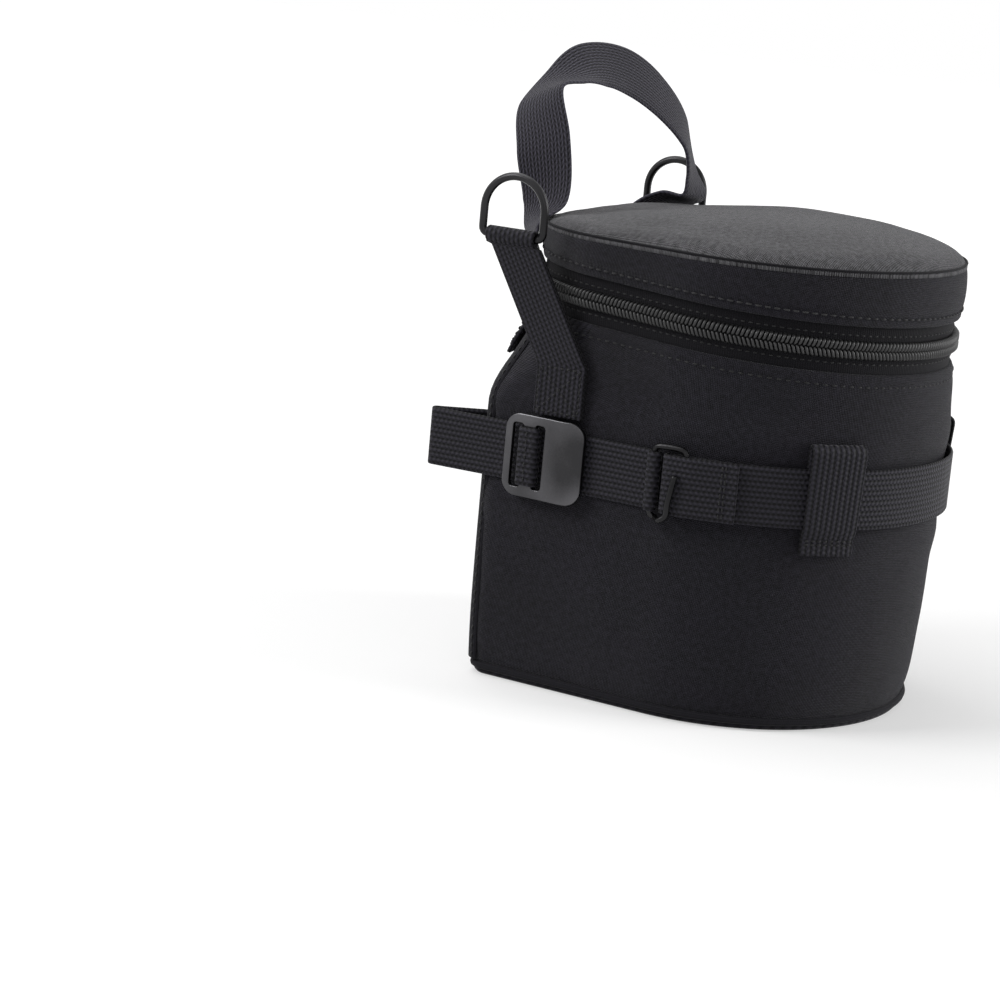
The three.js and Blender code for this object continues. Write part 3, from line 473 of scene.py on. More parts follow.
# Webbing: flat strap with soft woven edges. Shares of its half width and half thickness round its edge
STRAP_FACE = [
    (-1, 0.15), (-0.985, 0.65), (-0.94, 1), (-0.8, 1), (-0.5, 1), (0, 1),
    (0.5, 1), (0.8, 1), (0.94, 1), (0.985, 0.65), (1, 0.15),
]
STRAP_RING = STRAP_FACE + [(a, -t) for a, t in reversed(STRAP_FACE)]


def webbing(name, rings, width, along, look, closed=False):
    """Webbing over rings that follow STRAP_RING, its ribs laid out across its width."""
    across = [a * width / 2 for a, t in STRAP_RING + STRAP_RING[:1]]
    return loft(name, rings, LOOKS[look], closed=closed, across=across, along=along)


def strap(name, path, across, width, thickness, look, closed=False):
    """Webbing along a path. across gives the direction of its width at each point."""
    rings = []
    for p, w, run in zip(path, across, directions(path, closed)):
        w = (w - run * w.dot(run)).normalized()
        n = run.cross(w) * (thickness / 2)
        side = w * (width / 2)
        rings.append([p + side * a + n * t for a, t in STRAP_RING])
    along = lengths_of(path + (path[:1] if closed else []))
    return webbing(name, rings, width, along, look, closed)


def tube(name, path, radius, sides, look, closed=False, up=UP):
    """Round bar or roll along a path."""
    rings = []
    normal = None
    for p, run in zip(path, directions(path, closed)):
        if normal is None or closed:
            side = run.cross(up)
            normal = side if side.length > 0.1 else run.cross(Vector((1, 0, 0)))
        normal = (normal - run * normal.dot(run)).normalized()
        other = run.cross(normal)
        circle = arc_points(0, 0, radius, 0, 2 * PI, sides)[:-1]
        rings.append([p + normal * a + other * b for a, b in circle])
    return loft(name, rings, look, closed=closed)


# Thread: short stitches that dip into the cloth at both ends
STITCH_PITCH = 0.0034
BAR_PITCH = 0.0024
BOX_PITCH = 0.0025
BAR_STEPS = 12
THREAD = 0.00034
FINE_THREAD = 0.0003
STITCH_SHARE = 0.68
STITCH_SIDES = 6
# Shares along a stitch, its radius there, and how many radii it stands off the cloth
STITCH_STAGES = (
    (0, 0.35, -1.1), (0.14, 0.8, -0.1), (0.35, 1, 0.45), (0.65, 1, 0.45), (0.86, 0.8, -0.1), (1, 0.35, -1.1),
)


def stitches(name, path, outward, look, pitch, radius):
    """Thread along a path; outward is the cloth's normal at each of its points."""
    lengths = lengths_of(path)
    count = max(int(lengths[-1] / pitch), 1)
    step = lengths[-1] / count
    circle = arc_points(0, 0, radius, 0, 2 * PI, STITCH_SIDES)[:-1]
    points = []
    for k in range(count):
        start = k * step + step * (1 - STITCH_SHARE) / 2
        for share, size, lift in STITCH_STAGES:
            i, t = locate(lengths, start + step * STITCH_SHARE * share)
            run = (path[i] - path[i - 1]).normalized()
            out = outward[i - 1].lerp(outward[i], t)
            out = (out - run * out.dot(run)).normalized()
            side = run.cross(out)
            p = path[i - 1].lerp(path[i], t) + out * (radius * lift)
            points += [p + side * (size * a) + out * (size * b) for a, b in circle]
    return bars(name, points, len(STITCH_STAGES), STITCH_SIDES, look)


def sew(name, path, outward, look, slot, body, pitch=STITCH_PITCH, radius=THREAD):
    """A row of stitches that rides on a body."""
    thread = stitches(name, path, outward, LOOKS[look], pitch, radius)
    dress(thread, slot, body)
    return thread


def sew_box(name, corners, out, look, slot, pitch=STITCH_PITCH, radius=THREAD):
    """A sewn square with a cross in it."""
    a, b, c, d = corners
    for k, run in enumerate(([a, b, c, d, a, c], [b, d])):
        path = resample(run, STEP)
        sew("%s_%d" % (name, k), path, [out] * len(path), look, slot, "body", pitch, radius)


def sew_on_belt(name, start, end, off, radius):
    """A short row of stitches between two places on the belt, given as distance and height."""
    path, out = [], []
    for i in range(BAR_STEPS + 1):
        distance, z = (mix(a, b, i / BAR_STEPS) for a, b in zip(start, end))
        p, n = belt_line.at(distance, off, z)
        path.append(p)
        out.append(n)
    sew(name, path, out, "dark_thread", "webbing_black", "body", BAR_PITCH, radius)


# Materials
class Socket:
    """An output that is calculated with, adding one Math node for each sum."""

    def __init__(self, tree, output):
        self.tree = tree
        self.output = output

    def __add__(self, other):
        return self.tree.maths("ADD", self, other)

    def __sub__(self, other):
        return self.tree.maths("SUBTRACT", self, other)

    def __rsub__(self, other):
        return self.tree.maths("SUBTRACT", other, self)

    def __mul__(self, other):
        return self.tree.maths("MULTIPLY", self, other)

    def __truediv__(self, other):
        return self.tree.maths("DIVIDE", self, other)

    def __pow__(self, other):
        return self.tree.maths("POWER", self, other)


class Tree:
    """The nodes of a material or of the world."""

    def __init__(self, owner):
        owner.use_nodes = True
        self.nodes = owner.node_tree.nodes
        self.links = owner.node_tree.links

    def node(self, kind, settings=None, inputs=None, output=0):
        made = self.nodes.new(kind)
        for key, value in (settings or {}).items():
            setattr(made, key, value)
        for key, value in (inputs or {}).items():
            self.put(made.inputs[key], value)
        return Socket(self, made.outputs[output])

    def put(self, socket, value):
        if isinstance(value, Socket):
            self.links.new(value.output, socket)
        else:
            socket.default_value = value

    def maths(self, operation, *values):
        return self.node("ShaderNodeMath", {"operation": operation}, dict(enumerate(values)))

    def seen_directly(self):
        """1 for what the camera sees, straight on or mirrored in metal."""
        rays = (self.node("ShaderNodeLightPath", output=ray) for ray in ("Is Camera Ray", "Is Glossy Ray"))
        return self.maths("MAXIMUM", *rays)


class Shader(Tree):
    """A material's nodes, ending in one principled surface."""

    def __init__(self, name, constants):
        self.material = bpy.data.materials.new(name)
        super().__init__(self.material)
        self.surface = next(n for n in self.nodes if n.type == "BSDF_PRINCIPLED")
        for key, value in constants.items():
            self.surface.inputs[key].default_value = value

    def cloth(self):
        """The piece's own layout, in metres: across, along, and both together."""
        uv = self.node("ShaderNodeUVMap", {"uv_map": "cloth"})
        across, along = (self.node("ShaderNodeSeparateXYZ", None, {0: uv}, i) for i in (0, 1))
        return across, along, uv

    def noise(self, scale, detail=3.0, rough=0.5, vector=None):
        vector = vector or self.node("ShaderNodeTexCoord", output="Object")
        inputs = {"Vector": vector, "Scale": scale, "Detail": detail, "Roughness": rough}
        return self.node("ShaderNodeTexNoise", None, inputs)

    def wave(self, value):
        """A sine of a count of turns, from 0 to 1."""
        return self.maths("SINE", value * (2 * PI)) * 0.5 + 0.5

    def offset_rows(self, along, rows):
        """A wave along that starts half a turn later in every second row."""
        return self.wave(along + self.maths("FLOOR", rows) * 0.5)

    def clamp(self, value):
        return self.node("ShaderNodeClamp", None, {"Value": value})

    def finish(self, factor, dark, light, roughness, height, distance, strength):
        """Blends the two shades by a factor, and raises the surface by a height."""
        shades = {0: self.clamp(factor), 6: dark, 7: light}
        relief = {"Height": height, "Distance": distance, "Strength": strength}
        found = {
            "Base Color": self.node("ShaderNodeMix", {"data_type": "RGBA"}, shades, 2),
            "Roughness": roughness,
            "Normal": self.node("ShaderNodeBump", None, relief),
        }
        for key, value in found.items():
            self.put(self.surface.inputs[key], value)
        return self.material


NEUTRAL = (1.0, 0.985, 1.05)
COOL = (1.03, 0.97, 1.3)
WEAVE_PITCH = 0.00115
WEAVE_SLANT = 0.8
RIB_PITCH = 0.0009
PICK_PITCH = 0.0007
KNIT_PITCH = 0.0011
KNIT_ROW = 0.0009


def shell_cloth(name, dark, light):
    """Tight plain weave of thick yarn, seen on the slant, with a soft sheen."""
    s = Shader(name, {"Sheen Weight": 0.1, "Sheen Roughness": 0.35, "Specular IOR Level": 0.12})
    u, v, uv = s.cloth()
    wobble = (s.noise(700.0, 2.0, vector=uv) - 0.5) * 0.45
    warp = s.wave((u + v * WEAVE_SLANT) / WEAVE_PITCH + wobble)
    weft = s.wave((u * WEAVE_SLANT - v) / WEAVE_PITCH - wobble)
    height = s.maths("MAXIMUM", warp * weft, (1 - warp) * (1 - weft)) ** 0.7
    yarn = s.noise(1100.0, vector=uv)
    slub = s.noise(480.0, 2.0, vector=uv)
    patch = s.noise(26.0, 4.0)
    fleck = s.clamp(height * 0.75 + yarn * 0.7 + slub * 0.9 - 0.75)
    rough = yarn * 0.3 + 0.5 + patch * 0.08
    relief = height * 0.8 + yarn * 0.5
    return s.finish(fleck * 1.2 + patch * 0.5 - 0.3, dark, light, rough, relief, 0.0004, 0.9)


def webbing_cloth(name, dark, light, row, run, lean):
    """Webbing: ribs of raised yarn floats that lean to and fro."""
    s = Shader(name, {"Sheen Weight": 0.08, "Sheen Roughness": 0.35, "Specular IOR Level": 0.14})
    u, v, uv = s.cloth()
    rows = u / row
    floats = s.offset_rows(v / run + s.maths("PINGPONG", rows, 1.0) * lean, rows)
    yarn = s.noise(1300.0, vector=uv)
    height = s.clamp(s.wave(rows) * 0.65 + floats * 0.4) * 0.85 + yarn * 0.2
    return s.finish(height * 1.25 + yarn * 0.4 - 0.5, dark, light, yarn * 0.3 + 0.45, height, 0.0006, 0.9)


def tape_cloth(name, dark, light):
    """Thin woven tape with fine ribs along it."""
    s = Shader(name, {"Sheen Weight": 0.04, "Specular IOR Level": 0.12})
    u, v, uv = s.cloth()
    ribs = u / RIB_PITCH
    yarn = s.noise(1500.0, 2.0, vector=uv)
    height = s.wave(ribs) * 0.5 + s.offset_rows(v / PICK_PITCH, ribs) * 0.4
    return s.finish(height * 0.7 + yarn * 0.4 - 0.2, dark, light, yarn * 0.15 + 0.7, height, 0.0002, 0.8)


def thread_look(name, dark, light):
    """Twisted polyester thread."""
    s = Shader(name, {"Sheen Weight": 0.1, "Specular IOR Level": 0.2})
    twist = s.noise(2600.0, 2.0)
    return s.finish(twist * 1.6 - 0.3, dark, light, twist * 0.2 + 0.5, twist, 0.0001, 0.6)


def coil_look(name, dark, light):
    """Moulded nylon with a satin skin."""
    s = Shader(name, {"Specular IOR Level": 0.5})
    grain = s.noise(700.0)
    return s.finish(grain * 1.4 - 0.2, dark, light, grain * 0.2 + 0.34, grain, 0.00005, 0.5)


def gunmetal_look(name, dark, light, rough):
    """Dark plated wire and plate with a fine tumbled finish, a fine mottle and broad painted highlights in
    its colour.
    """
    s = Shader(name, {"Metallic": 1.0, "Coat Weight": 0.15, "Coat Roughness": 0.25})
    cloud = s.noise(60.0, 4.0, 0.6)
    grit = s.noise(1800.0, 2.0)
    sway = s.noise(45.0, 1.0, 0.3)
    # Colour: a fine random mottle, with broad light and dark patches from the sway noise painted in as
    # highlights and reflection bands.
    mottle_and_painted_highlight = cloud * 0.5 + sway * 2.2 + grit * 0.2 - 1.0
    return s.finish(mottle_and_painted_highlight, dark, light, cloud * 0.12 + rough + grit * 0.06, grit * 0.04 + sway, 0.0012, 0.8)


def liner_cloth(name, dark, light):
    """Brushed knit inside the pouch."""
    s = Shader(name, {"Sheen Weight": 0.35, "Sheen Roughness": 0.6, "Specular IOR Level": 0.25})
    u, v, uv = s.cloth()
    columns = u / KNIT_PITCH
    loops = s.wave(columns) * s.offset_rows(v / KNIT_ROW, columns)
    nap = s.noise(420.0, 4.0, 0.65)
    relief = loops * 0.5 + nap * 0.6
    return s.finish(loops * 0.4 + nap * 0.8 - 0.2, dark, light, nap * 0.1 + 0.85, relief, 0.0003, 0.7)


LOOKS = {}


def make_looks(tone):
    """Every finish: its maker, the shade it is mixed from, and its darkest and lightest share of it."""
    cloth, strap_shade = tone.cloth_shade, tone.webbing_shade
    metal, liner = tone.metal_shade, tone.liner_shade
    table = (
        ("shell", "pouch_shell_cloth", shell_cloth, cloth, 0.1, 2.1, COOL),
        # The lid's top is the shell cloth painted many times lighter: painted light standing in for the lamp
        # above and the sheen seen at a grazing angle.
        ("lid", "pouch_lid_cloth", shell_cloth, cloth, 1.0, 13.0, NEUTRAL),
        ("webbing", "pouch_webbing", webbing_cloth, strap_shade, 0.1, 2.5, COOL, 0.0019, 0.0019, 0.3),
        # The handle's webbing is the belt webbing painted about twice as light, painted light for the lit leg
        # of the handle, with a coarser weave of its own.
        ("handle", "pouch_handle_webbing", webbing_cloth, strap_shade, 0.2, 4.8, COOL, 0.0014, 0.0021, 0.9),
        ("binding", "pouch_edge_binding", tape_cloth, cloth, 0.4, 1.6, COOL),
        ("tape", "pouch_zip_tape", tape_cloth, cloth, 0.2, 0.9, COOL),
        ("thread", "pouch_thread", thread_look, cloth, 0.9, 3.6, NEUTRAL),
        ("dark_thread", "pouch_dark_thread", thread_look, cloth, 0.3, 2.4, NEUTRAL),
        ("coil", "pouch_zip_coil", coil_look, cloth, 0.35, 1.2, NEUTRAL),
        ("plate", "pouch_buckle_plate", gunmetal_look, metal, 0.7, 2.9, NEUTRAL, 0.24),
        ("wire", "pouch_black_wire", gunmetal_look, metal, 0.25, 0.7, NEUTRAL, 0.26),
        ("liner", "pouch_liner_knit", liner_cloth, liner, 0.6, 1.4, NEUTRAL),
    )
    for key, name, maker, shade, low, high, tint, *rest in table:
        dark, light = ([c * shade * share for c in tint] + [1.0] for share in (low, high))
        LOOKS[key] = maker(name, dark, light, *rest)


# Body
PIPING = 0.0015
PIPING_LIFT = 0.002
WALL_FOOT = 0.0053
WALL_START = WALL_FOOT - 0.0012
TOPSTITCH_DROP = 0.0046
WALL_ROWS = 60
WALL_EDGE = 0.0025
HEM = 0.006
BELT_EASE = 0.004
BELT_EDGE = 0.002
PUFF = 0.0007
PUFF_AWAY = 0.009
PUFF_WIDTH = 0.006
STITCH_DENT = 0.00055
DENT_WIDTH = 0.0011
RIM_SWELL = 0.0003
RIM_WIDTH = 0.0016
RIM_DROP = 0.0015
FOOT_PINCH = 0.0011
FOOT_EASE = 0.0035
WALL_WAVE = 0.0007
WALL_CRINKLE = 0.00022
BACK_COLUMNS = range(RIGHT_SEAM, ROUND + HALF_CORNER + 1)
WALLS = (
    ("side_wall", range(HALF_CORNER, RIGHT_SEAM + 1), "outer_wall"),
    ("back_wall", BACK_COLUMNS, "back_panel"),
)


def wall_offset(p, z):
    """How far padding and seams push the wall out or draw it in."""
    top = mouth(p.y)
    soft = ripple(p.x, p.y, z, 24, WALL_WAVE) + ripple(p.y, z, p.x, 70, WALL_CRINKLE)
    above = smooth(z, BELT_LOW - BELT_EASE, BELT_LOW + BELT_EDGE)
    belt = above * (1 - smooth(z, BELT_TOP - BELT_EDGE, BELT_TOP + BELT_EASE))
    soft = mix(soft, min(soft, 0), belt)
    below, over_belt = BELT_LOW - PUFF_AWAY, BELT_TOP + PUFF_AWAY
    puff = PUFF * (bump(z, below, PUFF_WIDTH) + bump(z, over_belt, PUFF_WIDTH))
    stitched = -STITCH_DENT * bump(z, top - TOPSTITCH_DROP, DENT_WIDTH)
    rim = RIM_SWELL * bump(z, top - RIM_DROP, RIM_WIDTH)
    foot = -FOOT_PINCH * math.exp(-max(z - WALL_FOOT, 0) / FOOT_EASE)
    return soft + puff + stitched + rim + foot


def wall_rows(columns):
    """Rows up the wall, over the fold at its mouth and down inside as a hem."""
    edge = 1 - WALL_EDGE / MOUTH_HEIGHT
    shares = [mix(WALL_START / MOUTH_HEIGHT, 1, i / WALL_ROWS) for i in range(WALL_ROWS)]
    rows = []
    for share in [s for s in shares if s < edge] + [edge]:
        row = []
        for p, n in choose(wall_plan(share, 0), columns):
            z = wall_height(share, p.y)
            row.append(over(p + n * wall_offset(p, z), z))
        rows.append(row)
    stations = choose(mouth_plan(0), columns)
    rows += rolled(stations, 0, 2 * FOLD_RADIUS, lambda y: mouth(y) - FOLD_RADIUS, FOLD_RADIUS)
    return rows + [[over(p - n * (2 * FOLD_RADIUS), mouth(p.y) - HEM) for p, n in stations]]


def make_walls():
    for name, columns, node in WALLS:
        piece = thicken(skin(name, wall_rows(columns), LOOKS["shell"]), CLOTH)
        dress(piece, "fabric_black", "body", node)
    row, out = [], []
    for c, (p, _) in enumerate(choose(mouth_plan(0), range(ROUND + 1))):
        z = mouth(p.y) - TOPSTITCH_DROP
        q, n = wall_point(c, z, wall_offset(p, z))
        row.append(q)
        out.append(n)
    sew("body_topstitch", row, out, "dark_thread", "fabric_black", "body")


BASE_INSET = 0.0012
PIPING_INSET = 0.0008
# The base from its middle out and up its rim, then back over it, as shares of the plan and heights
BASE_ROWS = (
    (0.15, 0), (0.5, 0), (0.8, 0), (0.98, 0), (0.992, 0.0002), (1, 0.001), (1, 0.0021),
    (1, 0.0022), (0.8, 0.0022), (0.15, 0.0022),
)


def make_base():
    rim = [p for p, n in wall_plan(0, BASE_INSET)]
    piece = loft("base_cover", [spread(rim, share, z) for share, z in BASE_ROWS], LOOKS["shell"])
    dress(piece, "fabric_black", "body", "base_panel")
    path = [over(p, PIPING_LIFT + PIPING) for p, n in wall_plan(0, PIPING_INSET)]
    roll = tube("base_roll", path, PIPING, 10, LOOKS["binding"], closed=True)
    dress(roll, "fabric_black", "body", "base_piping")


LINER_OUTER = FABRIC + 0.0011
LINER_FOOT_INSET = LINER_OUTER + 0.0015
LINER_FOOT_SHARE = 0.02
LINER_UNDERSIDE = 0.00312
LINER_FOOT = 0.0052
LINER_WAVE = 0.0008
LINER_FLOOR_SHARE = 0.078
LINER_FLOOR = 0.0098
LINER_FLOOR_INSET = LINER + 0.003
LINER_DROP = 0.0035
LINER_RIM = 0.0032
LINER_COVE = 0.0012
COVE_START = 0.12
# Shares of the wall's height up the liner's outside and down its inside
LINER_UP = (0.06, 0.3, 0.6, 0.85, 0.96)
LINER_DOWN = (0.95, 0.9, 0.8, 0.65, 0.5, 0.35, 0.2, 0.12, 0.09, LINER_FLOOR_SHARE)


def make_liner():
    """The padded liner: up outside, over its soft rim, down inside and across the floor."""
    under = [p for p, n in wall_plan(LINER_FOOT_SHARE, LINER_FOOT_INSET)]
    rows = [spread(under, 0.2, LINER_UNDERSIDE), spread(under, 1, LINER_FOOT)]
    for share in LINER_UP:
        rows.append([over(p, wall_height(share, p.y)) for p, n in wall_plan(share, LINER_OUTER)])
    rows += rolled(mouth_plan(0), LINER_OUTER, LINER, lambda y: mouth(y) - LINER_DROP, LINER_RIM)
    for share in LINER_DOWN:
        row = []
        cove = LINER_COVE * smooth(COVE_START - share, 0, COVE_START - LINER_FLOOR_SHARE)
        for p, n in wall_plan(share, LINER + cove):
            soft = abs(ripple(p.x, p.y, share * 0.14, 30, LINER_WAVE))
            row.append(over(p, wall_height(share, p.y)) - n * soft)
        rows.append(row)
    floor = [p for p, n in wall_plan(LINER_FLOOR_SHARE, LINER_FLOOR_INSET)]
    rows += [spread(floor, share, LINER_FLOOR) for share in (1, 0.8, 0.5, 0.2)]
    piece = loft("body_liner", rows, LOOKS["liner"])
    dress(piece, "lining_grey", "body", "body_lining", "wall_padding", "base_padding")


BINDING_HALF = 0.0035
BINDING_ROWS = 40
BINDING_TOP = 0.982
BINDING_LIFT = 0.0004
BINDING_SWELL = 0.0009
BINDING_UNDER = 0.0002
BINDING_ACROSS = (-1, -0.92, -0.6, 0, 0.6, 0.92, 1)


def make_bindings():
    for side, column, stitched in (("left", HALF_CORNER, 4), ("right", RIGHT_SEAM, 2)):
        rings, path, out = [], [], []
        for i in range(BINDING_ROWS + 1):
            share = mix((WALL_FOOT + BINDING_LIFT) / MOUTH_HEIGHT, BINDING_TOP, i / BINDING_ROWS)
            (before, _), (p, n), (after, _) = wall_plan(share, 0)[column - 1:column + 2]
            run = (after - before).normalized()
            corner = mix(BODY_CORNER, LID_CORNER, smooth(share, BLEND_START, 1))
            z = wall_height(share, p.y)

            def standing(a, lift):
                angle = a * BINDING_HALF / corner
                turned = n * math.cos(angle) + run * math.sin(angle)
                return over(p - n * corner + turned * (corner + lift), z)

            ring = [standing(a, BINDING_LIFT + BINDING_SWELL * (1 - a**4)) for a in BINDING_ACROSS]
            rings.append(ring + [standing(a, BINDING_UNDER) for a in (1, 0, -1)])
            path.append(ring[stitched])
            out.append(n)
        piece = loft("binding_" + side, rings, LOOKS["binding"])
        dress(piece, "webbing_black", "body", "edge_binding_" + side)
        sew("binding_stitch_" + side, path, out, "dark_thread", "webbing_black", "body")


# Zip
TAPE = 0.0006
TAPE_INSET = 0.0013
TAPE_GAP = 0.0012
TAPE_SEAM = 0.0052
TAPE_PITCH = 0.0028
TAPE_ROWS = 5
TOOTH_HEIGHT = 0.0034
TOOTH_PROUD = 0.0013
TOOTH_SINK = 0.0016
TOOTH_BITE = 0.0002
TOOTH_LEAN = 0.35
TOOTH_HALF = TOOTH_PITCH * 0.44
# One turn of the coil: shares along the zip and out from it, sunk into the tape where out is below 0
TOOTH_PROFILE = ((-1, -1.0), (-1, 0.25), (-0.72, 0.8), (0, 1.0), (0.72, 0.8), (1, 0.25), (1, -1.0))
# Heights up a turn, with the share of its width and of how far it stands out there
TOOTH_STAGES = (
    (-TOOTH_BITE, 0.5, 0.25), (0.0002, 0.85, 0.7), (0.0008, 1, 1),
    (TOOTH_HEIGHT - 0.0009, 1, 0.95), (TOOTH_HEIGHT - 0.0003, 0.8, 0.5), (TOOTH_HEIGHT, 0.5, -0.2),
)
OPEN_COLUMNS = range(SIDE_END + CORNER_STEPS + 1)
ZIP_HALVES = (("lower", "body", -1, 0.0045), ("upper", "lid", 1, 0.0035))


def zip_teeth(name, sign):
    """A row of coil turns, each a rounded bar that reaches between two turns of the other row."""
    stations = choose(mouth_plan(0), OPEN_COLUMNS)
    lengths = lengths_of([p for p, n in stations])
    points = []
    for k in range(int(lengths[-1] / TOOTH_PITCH) - 1):
        i, t = locate(lengths, TOOTH_PITCH * (k + (1.0 if sign > 0 else 0.5)))
        (a, m), (b, n) = stations[i - 1], stations[i]
        p = a.lerp(b, t)
        n = m.lerp(n, t).normalized()
        run = Vector((-n.y, n.x, MOUTH_SLOPE * n.x)).normalized()
        for height, wide, proud in TOOTH_STAGES:
            z = MID_ZIP + MOUTH_SLOPE * p.y + sign * height
            lean = TOOTH_LEAN * (height - TOOTH_HEIGHT / 2)
            for across, out in TOOTH_PROFILE:
                off = out * TOOTH_PROUD * proud if out > 0 else -TOOTH_SINK
                along = across * TOOTH_HALF * wide + lean
                points.append(over(p + run * along + n * off, z + run.z * along))
    return bars(name, points, len(TOOTH_STAGES), len(TOOTH_PROFILE), LOOKS["coil"])


def make_zip():
    edge = choose(mouth_plan(TAPE_INSET), OPEN_COLUMNS)
    for half, body, sign, hem in ZIP_HALVES:
        low, high = sorted((MID_ZIP + sign * TAPE_GAP, MID_ZIP + sign * (ZIP_HEIGHT / 2 + hem)))
        heights = [mix(low, high, i / TAPE_ROWS) for i in range(TAPE_ROWS + 1)]
        rows = [[over(p, z + MOUTH_SLOPE * p.y) for p, n in edge] for z in heights]
        piece = thicken(skin("tape_" + half, rows, LOOKS["tape"]), TAPE)
        dress(piece, "zip_black", body, "zip_tape_" + half)
    for half, body, sign, hem in ZIP_HALVES:
        dress(zip_teeth("teeth_" + half, sign), "coil_black", body, "zip_coil_" + half)
    out = [n for p, n in edge]
    for half, body, sign, hem in ZIP_HALVES:
        path = [over(p, MID_ZIP + sign * TAPE_SEAM + MOUTH_SLOPE * p.y) for p, n in edge]
        sew("tape_seam_" + half, path, out, "dark_thread", "zip_black", body, TAPE_PITCH, FINE_THREAD)


HINGE_HALF = 0.0235
HINGE_ROWS = 30
HINGE_COLUMNS = 24
HINGE_SEWN = 0.004
HINGE_SEAT = 0.0012
HINGE_BULGE = 0.0009
HINGE_CURVE = 0.004
HINGE_BEND = 0.0035


def make_hinge():
    """The fabric along the back that the lid turns on."""
    y = BACK_Y - LID_SETBACK
    low = mouth(y) - HINGE_SEWN
    high = lid_fold(y) + HINGE_SEWN
    rows = []
    for i in range(HINGE_ROWS + 1):
        z = mix(low, high, i / HINGE_ROWS)
        out = y - HINGE_SEAT + HINGE_BULGE * bump(z, HINGE.z, HINGE_CURVE)
        xs = [mix(HINGE_HALF, -HINGE_HALF, j / HINGE_COLUMNS) for j in range(HINGE_COLUMNS + 1)]
        rows.append([Vector((x, out, z)) for x in xs])
    piece = thicken(skin("hinge_fold", rows, LOOKS["shell"]), CLOTH)
    dress(piece, "fabric_black", None, "hinge_strip_body", "hinge_strip_lid")
    high - low
    low, high = HINGE.z - HINGE_BEND, HINGE.z + HINGE_BEND
    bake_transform(piece)


# Lid
LID_ROWS = 16
LID_STITCH_RISE = 0.0034
LID_SWELL = 0.0009
LID_PINCH = 0.001
LID_DENT = 0.0005
LID_SEAM_GAP = 0.0004
LID_STITCH_LIFT = 0.0003
LID_WAVE = 0.0006
LID_CRINKLE = 0.00018


def make_lid_side():
    stations = lid_plan(0)
    rows = [[over(p - n * (2 * FOLD_RADIUS), lid_fold(p.y) + HEM) for p, n in stations]]
    rows += rolled(stations, 2 * FOLD_RADIUS, 0, lambda y: lid_fold(y) + FOLD_RADIUS, -FOLD_RADIUS)
    for i in range(1, LID_ROWS + 1):
        arch = math.sin(PI * i / LID_ROWS)
        row = []
        for p, n in stations:
            high = lid_seam(p.y) - LID_SEAM_GAP
            z = mix(lid_fold(p.y) + FOLD_RADIUS, high, i / LID_ROWS)
            soft = ripple(p.x, p.y, z, 26, LID_WAVE) + ripple(z, p.x, p.y, 80, LID_CRINKLE)
            stitched = LID_DENT * bump(z, lid_fold(p.y) + LID_STITCH_RISE, DENT_WIDTH)
            pinch = LID_PINCH * bump(z, high, RIM_WIDTH)
            row.append(over(p + n * (soft * arch + LID_SWELL * arch**0.8 - stitched - pinch), z))
        rows.append(row)
    piece = thicken(skin("lid_side", rows, LOOKS["shell"], round_=True), CLOTH)
    dress(piece, "fabric_black", "lid", "lid_band")
    stations.append(stations[0])
    path = [over(p + n * LID_STITCH_LIFT, lid_fold(p.y) + LID_STITCH_RISE) for p, n in stations]
    sew("lid_topstitch", path, [n for p, n in stations], "thread", "fabric_black", "lid")


CROWN_RINGS = 26
CROWN_CLOSE = 0.985
CROWN_SPACING = 1.35
FLAT_POWER = 2.2
FULL_POWER = 4.2
CROWN_PUFF = 0.001
CROWN_PUFF_IN = 0.0065
CROWN_PUFF_WIDTH = 0.0055
CROWN_PINCH = 0.0012
CROWN_OVERLAP = 0.0002
CROWN_WAVE = 0.0009
WAVE_EDGE = 0.01
CROWN_CRINKLE = 0.00025
CRINKLE_EDGE = 0.006
FULL_UNTIL = -0.005
FLAT_FROM = 0.062
WELT = 0.0005
WELT_INSET = 0.0001
WELT_DROP = 0.0002


def make_lid_panel():
    """The padded top: it dips to its seam and crowns towards the middle, fuller over the nose."""
    centre = Vector((0, -LID_SETBACK / 2, 0))
    rows = []
    for k in range(CROWN_RINGS + 1):
        share = 1 - CROWN_CLOSE * (k / CROWN_RINGS) ** CROWN_SPACING
        edge = (1 - share) * NOSE_RADIUS
        puff = CROWN_PUFF * bump(edge, CROWN_PUFF_IN, CROWN_PUFF_WIDTH)
        seam = puff - CROWN_PINCH * bump(edge, 0, RIM_WIDTH)
        row = []
        for p, n in lid_plan(-CROWN_OVERLAP):
            q = centre.lerp(p, share)
            full = 1 - smooth(q.y, FULL_UNTIL, FLAT_FROM)
            rise = mix(CROWN_HEIGHT, FULL_CROWN, full) * (1 - share ** mix(FLAT_POWER, FULL_POWER, full))
            soft = ripple(q.x, q.y, 0.3, 20, CROWN_WAVE) * smooth(edge, 0, WAVE_EDGE)
            soft += ripple(q.y, q.x, 0.7, 55, CROWN_CRINKLE) * smooth(edge, 0, CRINKLE_EDGE)
            row.append(over(q, lid_seam(q.y) + rise + seam + soft))
        rows.append(row)
    closing = ((rows[-1], 0.0018), (rows[0], 0.0022))
    under = [[over(p, lid_seam(p.y) - drop) for p in row] for row, drop in closing]
    # The top takes the lighter copy of the shell cloth, which is painted light.
    piece = loft("lid_panel", under + rows, LOOKS["lid"])
    lay_out(piece, 0, 1)
    dress(piece, "fabric_lid", "lid", "lid_top")
    path = [over(p - n * WELT_INSET, lid_seam(p.y) - WELT_DROP) for p, n in lid_plan(0)]
    dress(tube("lid_seam", path, WELT, 8, LOOKS["tape"], closed=True), "fabric_black", "lid")


LID_LINER_OUTER = FABRIC + 0.0012
LID_LINER_TOP = SEAM_HEIGHT - 0.0025
LID_CEILING = SEAM_HEIGHT - 0.0085
LID_RIM = 0.0034
LID_RIM_DIP = 0.0026
